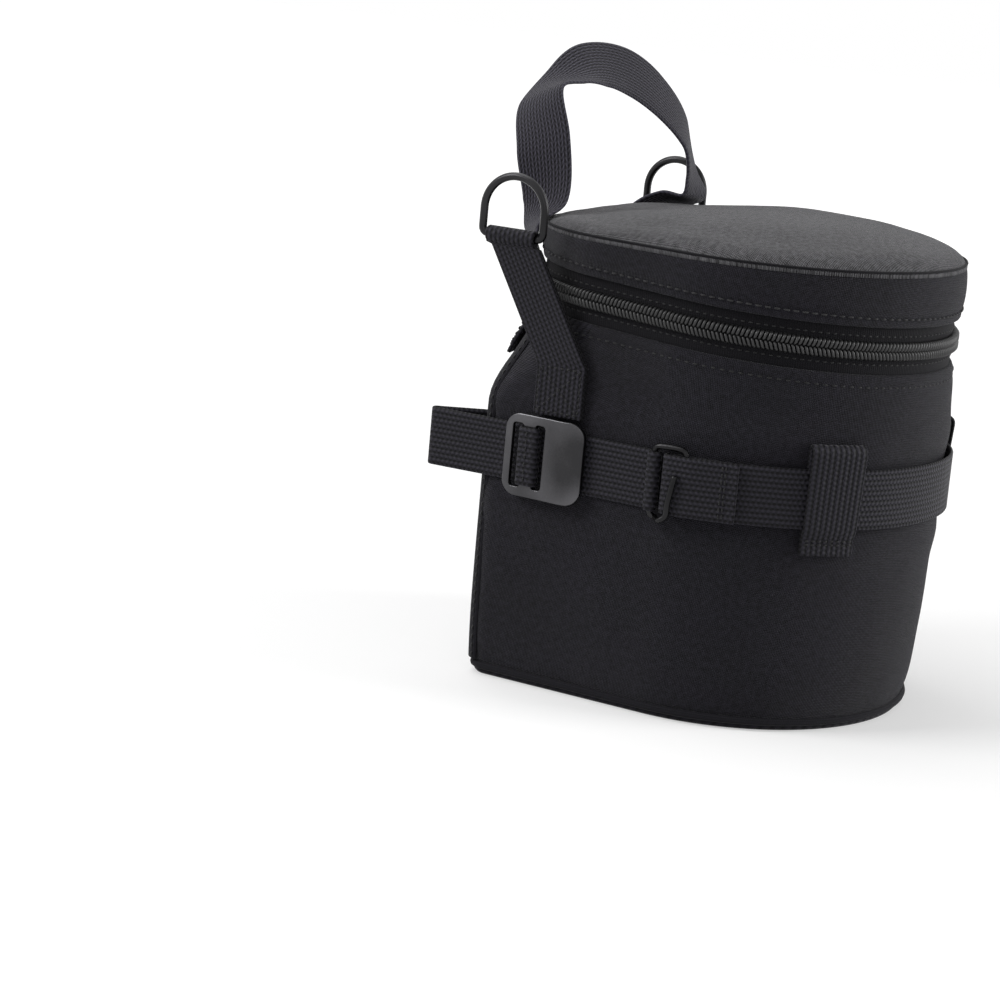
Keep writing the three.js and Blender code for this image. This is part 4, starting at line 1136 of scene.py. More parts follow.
# From the liner's rim up its inside and across its ceiling: shares of the plan and of the height
LID_LINER_ROWS = (
    (0.999, 0.25), (0.995, 0.6), (0.985, 0.85), (0.95, 0.97),
    (0.9, 1.0), (0.7, 1.02), (0.45, 1.03), (0.15, 1.03),
)


def make_lid_liner():
    stations = lid_plan(0)
    outer = [p - n * LID_LINER_OUTER for p, n in stations]
    inner = [p - n * LID_LINER for p, n in stations]
    rows = [
        spread(outer, 0.2, LID_LINER_TOP),
        [over(p, LID_LINER_TOP + SEAM_SLOPE * p.y) for p in outer],
        [over(p, lid_fold(p.y) + HEM) for p in outer],
    ]
    rows += rolled(stations, LID_LINER_OUTER, LID_LINER, lambda y: lid_fold(y) + LID_RIM, -LID_RIM_DIP)
    for share, rise in LID_LINER_ROWS:
        rows.append([
            over(p * share, mix(lid_fold(p.y) + LID_RIM, LID_CEILING + SEAM_SLOPE * p.y, rise)) for p in inner
        ])
    piece = loft("lid_liner", rows, LOOKS["liner"])
    dress(piece, "lining_grey", "lid", "lid_lining", "lid_padding")


# Belt
BELT_SEAT = 0.0004
UNDER_KEEPER = 0.0018
HOOK_WIRE = 0.0022
HOOK_ALONG = 0.081
HOOK_REACH = 0.012
HOOK_BEND = 0.002
EYE = HOOK_WIRE / 2 + PLAY + WEBBING / 2
BELT_MIDDLE = BELT_SEAT + WEBBING / 2
HOOK_OFF = BELT_MIDDLE + EYE
HOOK_STEPS = 180
STRAP_STEP = 0.0007
FOLD_BEHIND = 0.022
FOLD_GAP = 0.0022
LEFT_SEWN = 0.020
LOOP_FOLD = 0.0044
LOOP_SEWN = 0.107
LOOP_END = 0.112
LOOP_CURL = 0.0007
NOSE_RUN_STEPS = 220
NOSE_RUN_START = LOOP_SEWN + 0.002
BACK_EASE = 0.001
LAYER_GAP = 0.0002
BELT_WAVE = 0.0003
WAVE_FADE = 0.02
STITCH_LIFT = 0.0004
STITCH_INSET = 0.001
LOOP_THREAD = 0.00032
LOOP_STITCH_SHIFTS = (-0.0005, 0.0007)
HOOK_EASE = 0.0003
HOOK_TIP = 0.015


def belt_strap(side, path):
    path = resample(soften(resample(path, FINE_STEP)), STRAP_STEP)
    piece = strap("strap_" + side, path, [UP] * len(path), BELT_WIDTH, WEBBING, "webbing")
    dress(piece, "webbing_black", "body", "belt_strap_" + side)


def arc_on_belt(centre, off, radius, start, end):
    return [on_belt(along, out) for along, out in arc_points(centre, off, radius, start, end, 16)]


def left_path():
    """From the back seam out to the folded end, back to the side and round the wire hook."""
    corner_x = on_belt(0, 0).x
    fold_x = -BACK_WIDTH / 2 - BELT_MIDDLE - WALL_BELLY
    half = (FOLD_GAP + WEBBING) / 2
    seat = BACK_Y + WALL_BELLY + BELT_MIDDLE + BACK_EASE
    bend = arc_points(fold_x + half, BACK_Y + FOLD_BEHIND - half, half, 0, PI, 12)
    flat = [(corner_x + LEFT_SEWN, seat), (corner_x + 2 * half, seat)] + bend
    path = [Vector((x, y, BELT_Z)) for x, y in flat]
    path += [on_belt(mix(belt_line.corner, HOOK_ALONG - EYE, i / 24), BELT_MIDDLE) for i in range(25)]
    return path + arc_on_belt(HOOK_ALONG, HOOK_OFF, EYE, -PI / 2, PI)


def nose_path():
    """From the sewn end of the loop, round the hook and on under both keepers to the right seam."""
    keeper_off = UNDER_KEEPER + WEBBING / 2
    top = keeper_off + WEBBING + LAYER_GAP
    near = HOOK_ALONG + HOOK_REACH + EYE
    path = [on_belt(LOOP_END, top + LOOP_CURL), on_belt(LOOP_SEWN, top), on_belt(near, HOOK_OFF + EYE)]
    path += arc_on_belt(HOOK_ALONG + EYE + LOOP_FOLD, HOOK_OFF, EYE, PI / 2, 1.5 * PI)
    path += [on_belt(near, BELT_MIDDLE), on_belt(LOOP_SEWN, keeper_off)]
    for i in range(1, NOSE_RUN_STEPS + 1):
        s = mix(NOSE_RUN_START, belt_line.end, i / NOSE_RUN_STEPS)
        wave = BELT_WAVE * math.sin(s * 90) * smooth(s, LOOP_SEWN, LOOP_SEWN + WAVE_FADE)
        path.append(on_belt(s, keeper_off + wave))
    return path


def make_belt():
    belt_strap("left", left_path())
    belt_strap("nose", nose_path())
    face = UNDER_KEEPER + WEBBING * 2 + STITCH_LIFT
    low, high = BELT_LOW + STITCH_INSET, BELT_TOP - STITCH_INSET
    for k, shift in enumerate(LOOP_STITCH_SHIFTS):
        along = LOOP_SEWN + shift
        sew_on_belt("loop_stitch_%d" % k, (along, low), (along, high), face, LOOP_THREAD)


def make_hook():
    """The G-shaped wire: round the belt's height, then back up in front of the loop."""
    front = HOOK_OFF + EYE + WEBBING / 2 + PLAY + HOOK_WIRE / 2
    low = BELT_LOW - HOOK_BEND
    high = BELT_TOP + HOOK_BEND
    far = HOOK_ALONG + HOOK_REACH
    eased = 1 - math.sqrt(0.5)

    def corner(distance, side, z, end):
        return [
            on_belt(distance, HOOK_OFF, z),
            on_belt(distance + side * eased * HOOK_BEND, HOOK_OFF, mix(end, z, eased)),
            on_belt(distance + side * HOOK_BEND, HOOK_OFF, end),
        ]

    points = [
        on_belt(far, HOOK_OFF, BELT_LOW + HOOK_BEND),
        on_belt(far, HOOK_OFF, BELT_TOP - 2 * HOOK_BEND),
        *corner(far, -1, BELT_TOP, high),
        *corner(HOOK_ALONG, 1, BELT_TOP, high)[::-1],
        on_belt(HOOK_ALONG, HOOK_OFF, BELT_TOP - 2 * HOOK_BEND),
        on_belt(HOOK_ALONG, HOOK_OFF, BELT_LOW + 2 * HOOK_BEND),
        *corner(HOOK_ALONG, 1, BELT_LOW, low),
        on_belt(far - 3 * HOOK_BEND, front, low),
        on_belt(far - 2 * HOOK_BEND, front, BELT_LOW),
        on_belt(far - 2 * HOOK_BEND + HOOK_EASE, front, BELT_LOW + 2 * HOOK_BEND),
        on_belt(far - HOOK_BEND, front, BELT_LOW + HOOK_TIP),
    ]
    path = [catmull(points, i / HOOK_STEPS) for i in range(HOOK_STEPS + 1)]
    dress(tube("hook", path, HOOK_WIRE / 2, 14, LOOKS["wire"]), "gunmetal", "body", "wire_hook")


# Keepers
KEEPER_ANGLE = math.radians(44.7)
KEEPER_TOP = 0.1085
KEEPER_BOTTOM = 0.068
KEEPER_STAND = 0.0054
KEEPER_STITCHED = 0.46
KEEPER_STITCH_RISES = (0.0042, 0.0056)


def make_keepers():
    """Webbing sewn below the belt, up behind it, over the top and down in front of it."""
    inner = BELT_SEAT + WEBBING / 2
    outer = KEEPER_STAND + WEBBING / 2
    radius = (outer - inner) / 2
    sewn = inner + WEBBING + PLAY
    profile = [(inner, KEEPER_BOTTOM)]
    profile += arc_points(inner + radius, KEEPER_TOP - radius, radius, PI, 0, 12)
    profile += [
        (UNDER_KEEPER + WEBBING + PLAY + WEBBING / 2, BELT_LOW),
        (sewn, BELT_LOW - 3 * WEBBING),
        (sewn, KEEPER_BOTTOM),
    ]
    path = resample(soften(resample([Vector((off, 0, z)) for off, z in profile], FINE_STEP)), STEP)
    face = inner + 1.5 * WEBBING + STITCH_LIFT
    for side, sign in SIDES:
        middle = belt_line.nose + sign * NOSE_RADIUS * KEEPER_ANGLE
        rings = []
        for q, run in zip(path, directions(path)):
            normal = Vector((-run.z, 0, run.x)) * (WEBBING / 2)
            ring = []
            for a, t in STRAP_RING:
                v = q + normal * t
                ring.append(on_belt(middle + a * KEEPER_WIDTH / 2, v.x, v.z))
            rings.append(ring)
        piece = webbing("keeper_" + side, rings, KEEPER_WIDTH, lengths_of(path), "webbing")
        dress(piece, "webbing_black", "body", "belt_keeper_" + side)
        reach = KEEPER_WIDTH * KEEPER_STITCHED
        for k, rise in enumerate(KEEPER_STITCH_RISES):
            start, stop = ((middle + way * reach, KEEPER_BOTTOM + rise) for way in (-1, 1))
            sew_on_belt("keeper_stitch_%s_%d" % (side, k), start, stop, face, FINE_THREAD)


# Ring tabs and rings
RING_WIRE = 0.003
RING_INNER = 0.022
RING_BEND = 0.0022
RING_RISE = 0.022
RING_X = 0.0705
RING_Y = 0.070
RING_BAR_Z = 0.168
RING_PLAY = 0.00035
RING_STEP = 0.0009
TAB_FOOT_LOW = 0.105
TAB_FOOT_TOP = 0.124
TAB_FOOT_Y = 0.0435
TAB_FOOT_OFF = 0.0023
TAB_LAYER = 0.00072
TAB_CREASE = 0.0005
TAB_CREASE_WIDTH = 0.002
TAB_BOX_RISE = 0.0015
TAB_BOX_DROP = 0.001
TAB_BOX_INSET = 0.0016


def tab_back(z):
    """How far back the tab's middle lies at a height."""
    if z >= RING_BAR_Z - (RING_WIRE / 2 + RING_PLAY + WEBBING):
        return RING_Y
    t = (z - TAB_FOOT_TOP) / (RING_BAR_Z - TAB_FOOT_TOP)
    return mix(TAB_FOOT_Y, RING_Y, min(max(t, 0), 1))


def make_tabs():
    eye = RING_WIRE / 2 + RING_PLAY + WEBBING / 2
    foot_x = abs(on_belt(belt_line.corner + BACK_Y - TAB_FOOT_Y, TAB_FOOT_OFF).x)
    gap = math.asin(TAB_LAYER / eye)
    flat = [(foot_x - TAB_LAYER, TAB_FOOT_LOW), (foot_x - TAB_LAYER, TAB_FOOT_TOP)]
    flat += arc_points(RING_X, RING_BAR_Z, eye, 1.5 * PI - gap, gap - PI / 2, 32)
    flat += [(foot_x + TAB_LAYER, TAB_FOOT_TOP), (foot_x + TAB_LAYER, TAB_FOOT_LOW)]
    low, high = TAB_FOOT_LOW + TAB_BOX_RISE, TAB_FOOT_TOP - TAB_BOX_DROP
    reach = TAB_WIDTH / 2 - TAB_BOX_INSET
    for side, sign in SIDES:
        path = resample([Vector((sign * x, 0, z)) for x, z in flat], CLOSE_STEP)
        path = resample(soften(path), STEP)
        sloped = [Vector((p.x, tab_back(p.z), p.z)) for p in path]
        rings = []
        for p, run in zip(sloped, directions(path)):
            normal = Vector((run.z, 0, -run.x)) * (WEBBING / 2)
            crease = TAB_CREASE * bump(p.z, TAB_FOOT_TOP, TAB_CREASE_WIDTH)
            across = Vector((crease * sign, TAB_WIDTH / 2, 0))
            rings.append([p + across * a + normal * t for a, t in STRAP_RING])
        piece = webbing("tab_" + side, rings, TAB_WIDTH, lengths_of(sloped), "webbing")
        dress(piece, "webbing_black", "body", "ring_tab_" + side)
        x = sign * (foot_x + TAB_LAYER + WEBBING / 2)
        near, back = TAB_FOOT_Y - reach, TAB_FOOT_Y + reach
        corners = [Vector((x, y, z)) for y, z in ((near, low), (back, low), (back, high), (near, high))]
        out = Vector((sign, 0, 0))
        sew_box("tab_stitch_" + side, corners, out, "dark_thread", "webbing_black", BOX_PITCH, FINE_THREAD)


def make_rings():
    half = RING_INNER / 2 + RING_WIRE / 2
    points = arc_points(half - RING_BEND, RING_BEND, RING_BEND, -PI / 2, 0, 8)
    points += arc_points(0, max(RING_RISE - half, RING_BEND), half, 0, PI, 48)
    points += arc_points(RING_BEND - half, RING_BEND, RING_BEND, PI, 1.5 * PI, 8)
    for side, sign in SIDES:
        path = [Vector((sign * RING_X, RING_Y + y, RING_BAR_Z + z)) for y, z in points + points[:1]]
        path = resample(path, RING_STEP)[:-1]
        look = LOOKS["wire"]
        piece = tube("ring_" + side, path, RING_WIRE / 2, 16, look, closed=True, up=Vector((1, 0, 0)))
        dress(piece, "gunmetal", "ring_" + side, "d_ring_" + side)


# Handle: the strap's middle line, then the direction across it, as shares
HANDLE_RISE = 0.080
HANDLE_WIDTH = 0.022
HANDLE_WEBBING = 0.0015
HANDLE_STEPS = 240
HANDLE_PLACES = [
    (-0.585, 0.491, 0.02), (-0.61, 0.493, 0.12), (-0.616, 0.505, 0.219), (-0.532, 0.496, 0.347),
    (-0.491, 0.524, 0.604), (-0.352, 0.572, 0.819), (-0.14, 0.555, 0.904), (0.07, 0.525, 0.968),
    (0.338, 0.482, 0.937), (0.581, 0.436, 0.822), (0.745, 0.392, 0.658), (0.808, 0.372, 0.463),
    (0.809, 0.357, 0.342), (0.791, 0.424, 0.302), (0.718, 0.482, 0.189), (0.585, 0.491, 0.02),
]
HANDLE_ACROSS = [
    (0.94, 0.34, 0), (0.9, 0.43, 0), (0.74, 0.61, -0.27), (0.21, 0.96, -0.19), (-0.15, 0.91, -0.39),
    (0.13, 0.89, -0.44), (0.35, 0.93, 0.07), (0.11, 0.74, 0.66), (0.49, 0.37, 0.79), (0.8, 0.25, 0.55),
    (0.75, 0.4, 0.52), (0.95, 0.31, 0.07), (1, -0.02, -0.08), (0.93, 0.03, -0.38), (0.82, -0.15, -0.55),
    (0.94, -0.34, 0),
]


def make_handle():
    half = BACK_WIDTH / 2
    places = [Vector((x * half, y * BODY_DEPTH, HINGE.z + z * HANDLE_RISE)) for x, y, z in HANDLE_PLACES]
    across = [Vector(d).normalized() for d in HANDLE_ACROSS]
    shares = [i / HANDLE_STEPS for i in range(HANDLE_STEPS + 1)]
    path, ways = ([catmull(line, t) for t in shares] for line in (places, across))
    # The handle takes the lighter copy of the webbing, which is painted light.
    piece = strap("handle", path, ways, HANDLE_WIDTH, HANDLE_WEBBING, "handle")
    dress(piece, "webbing_black", "carry_handle", "carry_handle")


ANCHOR_SEAT = 0.0015
ANCHOR_LOW = 0.856
ANCHOR_HIGH = 0.998
ANCHOR_ROWS = 14
ANCHOR_COLUMNS = 12
ANCHOR_STITCH_LIFT = 0.0002
# The rows and columns at the corners of an anchor's box of stitches
ANCHOR_BOX = ((2, -2), (2, 1), (11, 1), (11, -2))


def make_anchors():
    """The sewn ends of the handle, flat on the back wall."""
    end = abs(HANDLE_PLACES[0][0]) * BACK_WIDTH / 2
    half = HANDLE_ACROSS[0][0] * HANDLE_WIDTH / 2
    lift = BACKWARD * ANCHOR_STITCH_LIFT
    for side, sign in SIDES:
        rows = []
        for i in range(ANCHOR_ROWS + 1):
            share = mix(ANCHOR_LOW, ANCHOR_HIGH, i / ANCHOR_ROWS)
            back = choose(wall_plan(share, -ANCHOR_SEAT - WEBBING), BACK_COLUMNS)
            towards_left = [-p.x for p, n in back]
            row = []
            for j in range(ANCHOR_COLUMNS + 1):
                x = sign * mix(end - half, end + half, j / ANCHOR_COLUMNS)
                k, t = locate(towards_left, -x)
                y = mix(back[k - 1][0].y, back[k][0].y, t)
                row.append(Vector((x, y, wall_height(share, y))))
            rows.append(row[::sign])
        piece = thicken(skin("anchor_" + side, rows[::-1], LOOKS["webbing"]), WEBBING)
        dress(piece, "webbing_black", "body", "handle_anchor_" + side)
        corners = [rows[i][j] + lift for i, j in ANCHOR_BOX]
        sew_box("anchor_stitch_" + side, corners, BACKWARD, "dark_thread", "webbing_black", BOX_PITCH)


# Belt loop on the back
LOOP_WIDTH = 0.050
LOOP_TOP = 0.118
LOOP_BOTTOM = 0.026
LOOP_BOW = 0.007
LOOP_FABRIC = 0.0018
LOOP_HEM = 0.012
LOOP_ROWS = 48
LOOP_COLUMNS = 24
LOOP_STITCH_INSET = 0.0022


def make_back_loop():
    face = BACK_Y + WALL_BELLY + PLAY
    run = LOOP_TOP - LOOP_BOTTOM
    rows = []
    for i in range(LOOP_ROWS + 1):
        z = LOOP_BOTTOM + run * i / LOOP_ROWS
        inside = min(max((z - LOOP_BOTTOM - LOOP_HEM) / (run - 2 * LOOP_HEM), 0), 1)
        y = face + LOOP_BOW * math.sin(PI * inside) ** 0.5 + LOOP_FABRIC
        xs = [LOOP_WIDTH * (0.5 - j / LOOP_COLUMNS) for j in range(LOOP_COLUMNS + 1)]
        rows.append([Vector((x, y, z)) for x in xs])
    piece = thicken(skin("back_loop_strip", rows, LOOKS["shell"]), LOOP_FABRIC)
    round_edges(piece, 0.0004, 2, 30)
    dress(piece, "fabric_black", "body", "back_loop")
    inset = LOOP_STITCH_INSET
    x = LOOP_WIDTH / 2 - inset
    y = face + LOOP_FABRIC
    for k, bottom in enumerate((LOOP_BOTTOM, LOOP_TOP - LOOP_HEM)):
        low, high = bottom + inset, bottom + LOOP_HEM - inset
        corners = [Vector((x, y, low)), Vector((-x, y, low)), Vector((-x, y, high)), Vector((x, y, high))]
        sew_box("back_loop_stitch_%d" % k, corners, BACKWARD, "thread", "fabric_black")


# Ladder buckle
BUCKLE_LENGTH = 0.033
BUCKLE_HEIGHT = 0.031
BUCKLE_THICK = 0.0022
BUCKLE_CORNER = 0.006
BUCKLE_ALONG = 0.036
BUCKLE_OFF = 0.0035
SLOT_HEIGHT = 0.024
BACK_BAR = 0.003
BACK_SLOT = 0.0046
MIDDLE_BAR = 0.005
FRONT_SLOT = 0.004
PLATE_DISH = 0.0011
PLATE_DROP = 0.0007
WRAP_BEND = 0.0011
WRAP_PITCH = 0.0026
SLOT_CORNER = 0.0012
DISH_STEPS = 8


def side_frame(distance, off):
    """Axes on the left wall: forward along it, up, and out."""
    u = (on_belt(distance + HOOK_WIRE, off) - on_belt(distance - HOOK_WIRE, off)).normalized()
    return axes(u, UP, u.cross(UP), on_belt(distance, off))


def block(name, low, high):
    """A box between two corners."""
    low, high = Vector(low), Vector(high)
    bpy.ops.object.select_all(action="DESELECT")
    bpy.ops.mesh.primitive_cube_add(size=1, location=(low + high) / 2)
    piece = bpy.context.active_object
    piece.name = name
    piece.scale = high - low
    bpy.ops.object.transform_apply(location=True, rotation=False, scale=True)
    return piece


def bevel_upright(piece, radius, segments):
    """Rounds the edges that run through the plate."""
    pick(piece)
    bpy.ops.object.mode_set(mode="EDIT")
    bpy.ops.mesh.select_mode(type="EDGE")
    bpy.ops.mesh.select_all(action="DESELECT")
    bpy.ops.object.mode_set(mode="OBJECT")
    points = piece.data.vertices
    for edge in piece.data.edges:
        a, b = (points[i].co for i in edge.vertices)
        edge.select = (a - b).xy.length < 1e-7
    bpy.ops.object.mode_set(mode="EDIT")
    bpy.ops.mesh.bevel(offset=radius, segments=segments, affect="EDGES")
    bpy.ops.object.mode_set(mode="OBJECT")


def cut(piece, cutter):
    apply_modifier(piece, "BOOLEAN", operation="DIFFERENCE", object=cutter, solver="EXACT")
    bpy.data.objects.remove(cutter, do_unlink=True)


def crown_plate(plate, low, high):
    """Dishes the wide end of the plate, so that it catches the light in a band."""
    shape = bmesh.new()
    shape.from_mesh(plate.data)
    for a in range(1, DISH_STEPS):
        whole = shape.verts[:] + shape.edges[:] + shape.faces[:]
        x = mix(low, high, a / DISH_STEPS)
        bmesh.ops.bisect_plane(shape, geom=whole, plane_co=(x, 0, 0), plane_no=(1, 0, 0))
    shape.to_mesh(plate.data)
    shape.free()
    for vertex in plate.data.vertices:
        t = (vertex.co.x - low) / (high - low)
        if t > 0:
            vertex.co.z += PLATE_DISH * math.sin(PI * min(t, 1)) - PLATE_DROP * t


def finish_metal(piece, look):
    """Gives a machined piece its finish, flat layout and smooth shading."""
    lay_out(piece, 1, 2)
    piece.data.materials.clear()
    piece.data.materials.append(LOOKS[look])
    pick(piece)
    bpy.ops.object.shade_smooth_by_angle(angle=math.radians(35))


def make_buckle():
    left = -BUCKLE_LENGTH / 2
    plate = block("buckle", (left, -BUCKLE_HEIGHT / 2, 0), (-left, BUCKLE_HEIGHT / 2, BUCKLE_THICK))
    bevel_upright(plate, BUCKLE_CORNER, 10)
    first = left + BACK_BAR
    second = first + BACK_SLOT + MIDDLE_BAR
    for a, b in ((first, first + BACK_SLOT), (second, second + FRONT_SLOT)):
        cutter = block("slot", (a, -SLOT_HEIGHT / 2, -BUCKLE_THICK), (b, SLOT_HEIGHT / 2, 2 * BUCKLE_THICK))
        bevel_upright(cutter, SLOT_CORNER, 5)
        cut(plate, cutter)
    round_edges(plate, 0.00075, 4, 40)
    crown_plate(plate, second + FRONT_SLOT, -left)
    here = side_frame(BUCKLE_ALONG, BUCKLE_OFF)
    move_mesh(plate, here)
    finish_metal(plate, "plate")
    dress(plate, "gunmetal", "buckle", "ladder_buckle")
    bar = first + BACK_SLOT + MIDDLE_BAR / 2
    middle = BUCKLE_THICK / 2
    r = WRAP_BEND
    x = MIDDLE_BAR / 2 + PLAY + WEBBING / 2 - r
    z = middle + PLAY + WEBBING / 2 - r
    flat = []
    for k, (cx, cz) in enumerate(((x, z), (-x, z), (-x, -z), (x, -z))):
        flat += arc_points(bar + cx, middle + cz, r, k * PI / 2, (k + 1) * PI / 2, 6)
    path = resample([Vector((a, 0, b)) for a, b in flat + flat[:1]], CLOSE_STEP)[:-1]
    ways = [BACKWARD] * len(path)
    wrap = strap("buckle_wrap", path, ways, BELT_WIDTH, WEBBING, "webbing", closed=True)
    move_mesh(wrap, here)
    dress(wrap, "webbing_black", "buckle", "buckle_webbing")
    top = BUCKLE_THICK + PLAY + WEBBING
    reach = BELT_WIDTH / 2 - STITCH_INSET
    path = resample([Vector((bar, -reach, top)), Vector((bar, reach, top))], STEP)
    out = [UP] * len(path)
    thread = sew("buckle_stitch", path, out, "dark_thread", "webbing_black", "buckle", WRAP_PITCH)
    move_mesh(thread, here)


# Zip sliders and pulls
SLIDER_LENGTH = 0.010
SLIDER_WIDTH = 0.0084
SLIDER_THICK = 0.0016
SLIDER_PLAY = 0.0005
SLIDER_NARROWS = 0.42
SLIDER_FALLS = 0.28
SLIDER_TOP = 0.9
PULL_LENGTH = 0.030
PULL_WIDTH = 0.0054
PULL_THICK = 0.0012
PULL_BAR = 0.0012
PULL_WINDOW = 0.0046
PULL_LEAN = math.radians(4)
GROOVES = 5
GROOVE_START = 0.004
GROOVE_PITCH = 0.0022
GROOVE_WIDTH = 0.0009
GROOVE_DEPTH = 0.00025
BAIL_WIRE = 0.0012
BAIL_SPAN = 0.0026
BAIL_RISE = 0.0035
SLIDER_PLACES = {"front": -0.0095, "rear": 0.0125}


def zip_frame(y, off):
    """Axes on the right side of the zip: back along it, across it, and out."""
    stations = choose(mouth_plan(0), range(NOSE_TIP, SIDE_END + CORNER_STEPS + 1))
    i, t = locate([p.y for p, n in stations], y)
    (a, m), (b, n) = stations[i - 1], stations[i]
    w = m.lerp(n, t).normalized()
    p = a.lerp(b, t) + w * off
    u = Vector((-w.y, w.x, MOUTH_SLOPE * w.x)).normalized()
    return axes(u, w.cross(u), w, over(p, MID_ZIP + MOUTH_SLOPE * p.y))


def make_slider(name, matrix):
    """A slider that narrows towards both ends, its top sloping down to them, with a wire bail."""
    a, b = SLIDER_LENGTH / 2, SLIDER_WIDTH / 2
    shape = block(name, (-a, -b, 0), (a, b, SLIDER_THICK))
    pick(shape)
    bpy.ops.object.mode_set(mode="EDIT")
    bpy.ops.mesh.select_all(action="SELECT")
    bpy.ops.mesh.subdivide(number_cuts=3)
    bpy.ops.object.mode_set(mode="OBJECT")
    for vertex in shape.data.vertices:
        p = vertex.co
        p.y *= 1 - SLIDER_NARROWS * smooth(abs(p.x), a * 0.35, a)
        if p.z > SLIDER_THICK / 2:
            p.z = SLIDER_THICK * (1 - SLIDER_FALLS * (abs(p.x) / a) ** 2)
            p.y *= SLIDER_TOP
    round_edges(shape, 0.0004, 3, 35)
    span = BAIL_SPAN + BAIL_WIRE / 2
    arc = arc_points(0, 0, 1, 0, PI, 24)
    arch = [Vector((0, span * y, SLIDER_THICK / 2 + BAIL_RISE * z)) for y, z in arc]
    bail = tube(name + "_bail", arch, BAIL_WIRE / 2, 10, LOOKS["wire"], up=Vector((1, 0, 0)))
    finish_metal(shape, "wire")
    piece = join(name, [shape, bail])
    move_mesh(piece, matrix)
    return piece


def make_pull(name, matrix):
    """A flat pull with a window for the bail and a gripping end."""
    half = PULL_WIDTH / 2
    face = PULL_THICK / 2
    plate = block(name, (-half, -PULL_LENGTH, -face), (half, PULL_BAR / 2, face))
    bevel_upright(plate, half * 0.6, 6)
    side = half - PULL_BAR
    top = -PULL_BAR / 2
    window = block("window", (-side, top - PULL_WINDOW, -PULL_THICK), (side, top, PULL_THICK))
    bevel_upright(window, PULL_BAR / 2, 4)
    cut(plate, window)
    for k in range(GROOVES):
        y = -PULL_LENGTH + GROOVE_START + k * GROOVE_PITCH
        cut(plate, block("groove", (-half, y, face - GROOVE_DEPTH), (half, y + GROOVE_WIDTH, PULL_THICK)))
    round_edges(plate, 0.00025, 2, 40)
    move_mesh(plate, matrix)
    finish_metal(plate, "coil")
    return plate


def make_zip_pulls():
    slider_off = TOOTH_PROUD + SLIDER_PLAY
    pull_off = slider_off + SLIDER_THICK + SLIDER_PLAY + PULL_THICK / 2
    for where, y in SLIDER_PLACES.items():
        runner = make_slider("slider_" + where, zip_frame(y, slider_off))
        dress(runner, "gunmetal", "slider_" + where, "zip_slider_" + where)
        turn = Matrix.Rotation(PI - PULL_LEAN, 4, "X") if where == "rear" else Matrix.Identity(4)
        pull = make_pull("pull_" + where, zip_frame(y, pull_off) @ turn)
        dress(pull, "webbing_black", "pull_" + where, "zip_pull_" + where)


# Studio
CAMERA_AT = Vector((-1.02276, -0.42163, 0.29852))
CAMERA_RIGHT = Vector((0.47014662, -0.87822015, 0.0877013))
CAMERA_UP = Vector((0.14500054, 0.17487626, 0.97385478))
CAMERA_LENS = 105.34
SENSOR = 36.0
LAMP_TARGET = Vector((0, 0, 0.1))
FLOOR_SIZE = 8
FLOOR_GREY = 0.6
FLOOR_FADE = {"From Min": 0.3, "From Max": 2.0, "To Min": 0.4, "To Max": 0.9}


def add_to_scene(name, data):
    made = bpy.data.objects.new(name, data)
    bpy.context.scene.collection.objects.link(made)
    return made


def make_camera():
    data = bpy.data.cameras.new("camera")
    data.lens = CAMERA_LENS
    data.sensor_width = SENSOR
    data.sensor_fit = "HORIZONTAL"
    camera = add_to_scene("camera", data)
    camera.matrix_world = axes(CAMERA_RIGHT, CAMERA_UP, CAMERA_RIGHT.cross(CAMERA_UP), CAMERA_AT)
    bpy.context.scene.camera = camera


def add_lamp(name, where, size, power):
    data = bpy.data.lights.new(name, "AREA")
    data.shape = "RECTANGLE"
    data.size, data.size_y = size
    data.energy = power
    lamp = add_to_scene(name, data)
    lamp.location = where
    lamp.rotation_euler = (LAMP_TARGET - Vector(where)).to_track_quat("-Z", "Y").to_euler()


def make_floor(glow):
    """A pale floor that brightens away from the pouch, as the camera sees it."""
    bpy.ops.object.select_all(action="DESELECT")
    bpy.ops.mesh.primitive_plane_add(size=FLOOR_SIZE, location=(0, 0, 0))
    floor = bpy.context.active_object
    floor.name = "floor"
    base = (FLOOR_GREY, FLOOR_GREY, FLOOR_GREY, 1)
    look = Shader("studio_floor", {"Base Color": base, "Roughness": 0.9, "Specular IOR Level": 0.1})
    place = look.node("ShaderNodeTexCoord", output="Object")
    away = look.node("ShaderNodeVectorMath", {"operation": "LENGTH"}, {0: place}, "Value")
    faded = look.node("ShaderNodeMapRange", None, {"Value": away, **FLOOR_FADE})
    look.put(look.surface.inputs["Emission Color"], faded)
    look.put(look.surface.inputs["Emission Strength"], look.seen_directly() * glow)
    floor.data.materials.clear()
    floor.data.materials.append(look.material)


def make_sky(strength):
    """Even light all round, and plain white where the camera looks past the floor."""
    world = bpy.data.worlds.new("studio")
    tree = Tree(world)
    back = tree.nodes["Background"]
    back.inputs["Color"].default_value = (1, 1, 1, 1)
    light = tree.node("ShaderNodeMix", None, {0: tree.seen_directly(), 2: strength, 3: 1.0})
    tree.put(back.inputs["Strength"], light)
    bpy.context.scene.world = world


def make_stage(studio):
    make_camera()
    make_floor(studio.floor_glow)
    make_sky(studio.sky)
    add_lamp("rear_lamp", (-0.9, 1.0, 1.1), (0.7, 0.7), studio.rear)
    add_lamp("side_lamp", (0.7, -1.5, 0.7), (0.8, 1.2), studio.side)
    add_lamp("top_lamp", (0.1, 0.6, 1.6), (1.2, 1.2), studio.top)
    add_lamp("front_lamp", (-1.7, -0.9, 0.8), (1.0, 1.0), studio.front)
    bpy.context.scene.view_settings.view_transform = "Standard"


def share_property(name, description, default):
    return bpy.props.FloatProperty(
        name=name, description=description, default=default, min=0, max=1, subtype="FACTOR",
    )


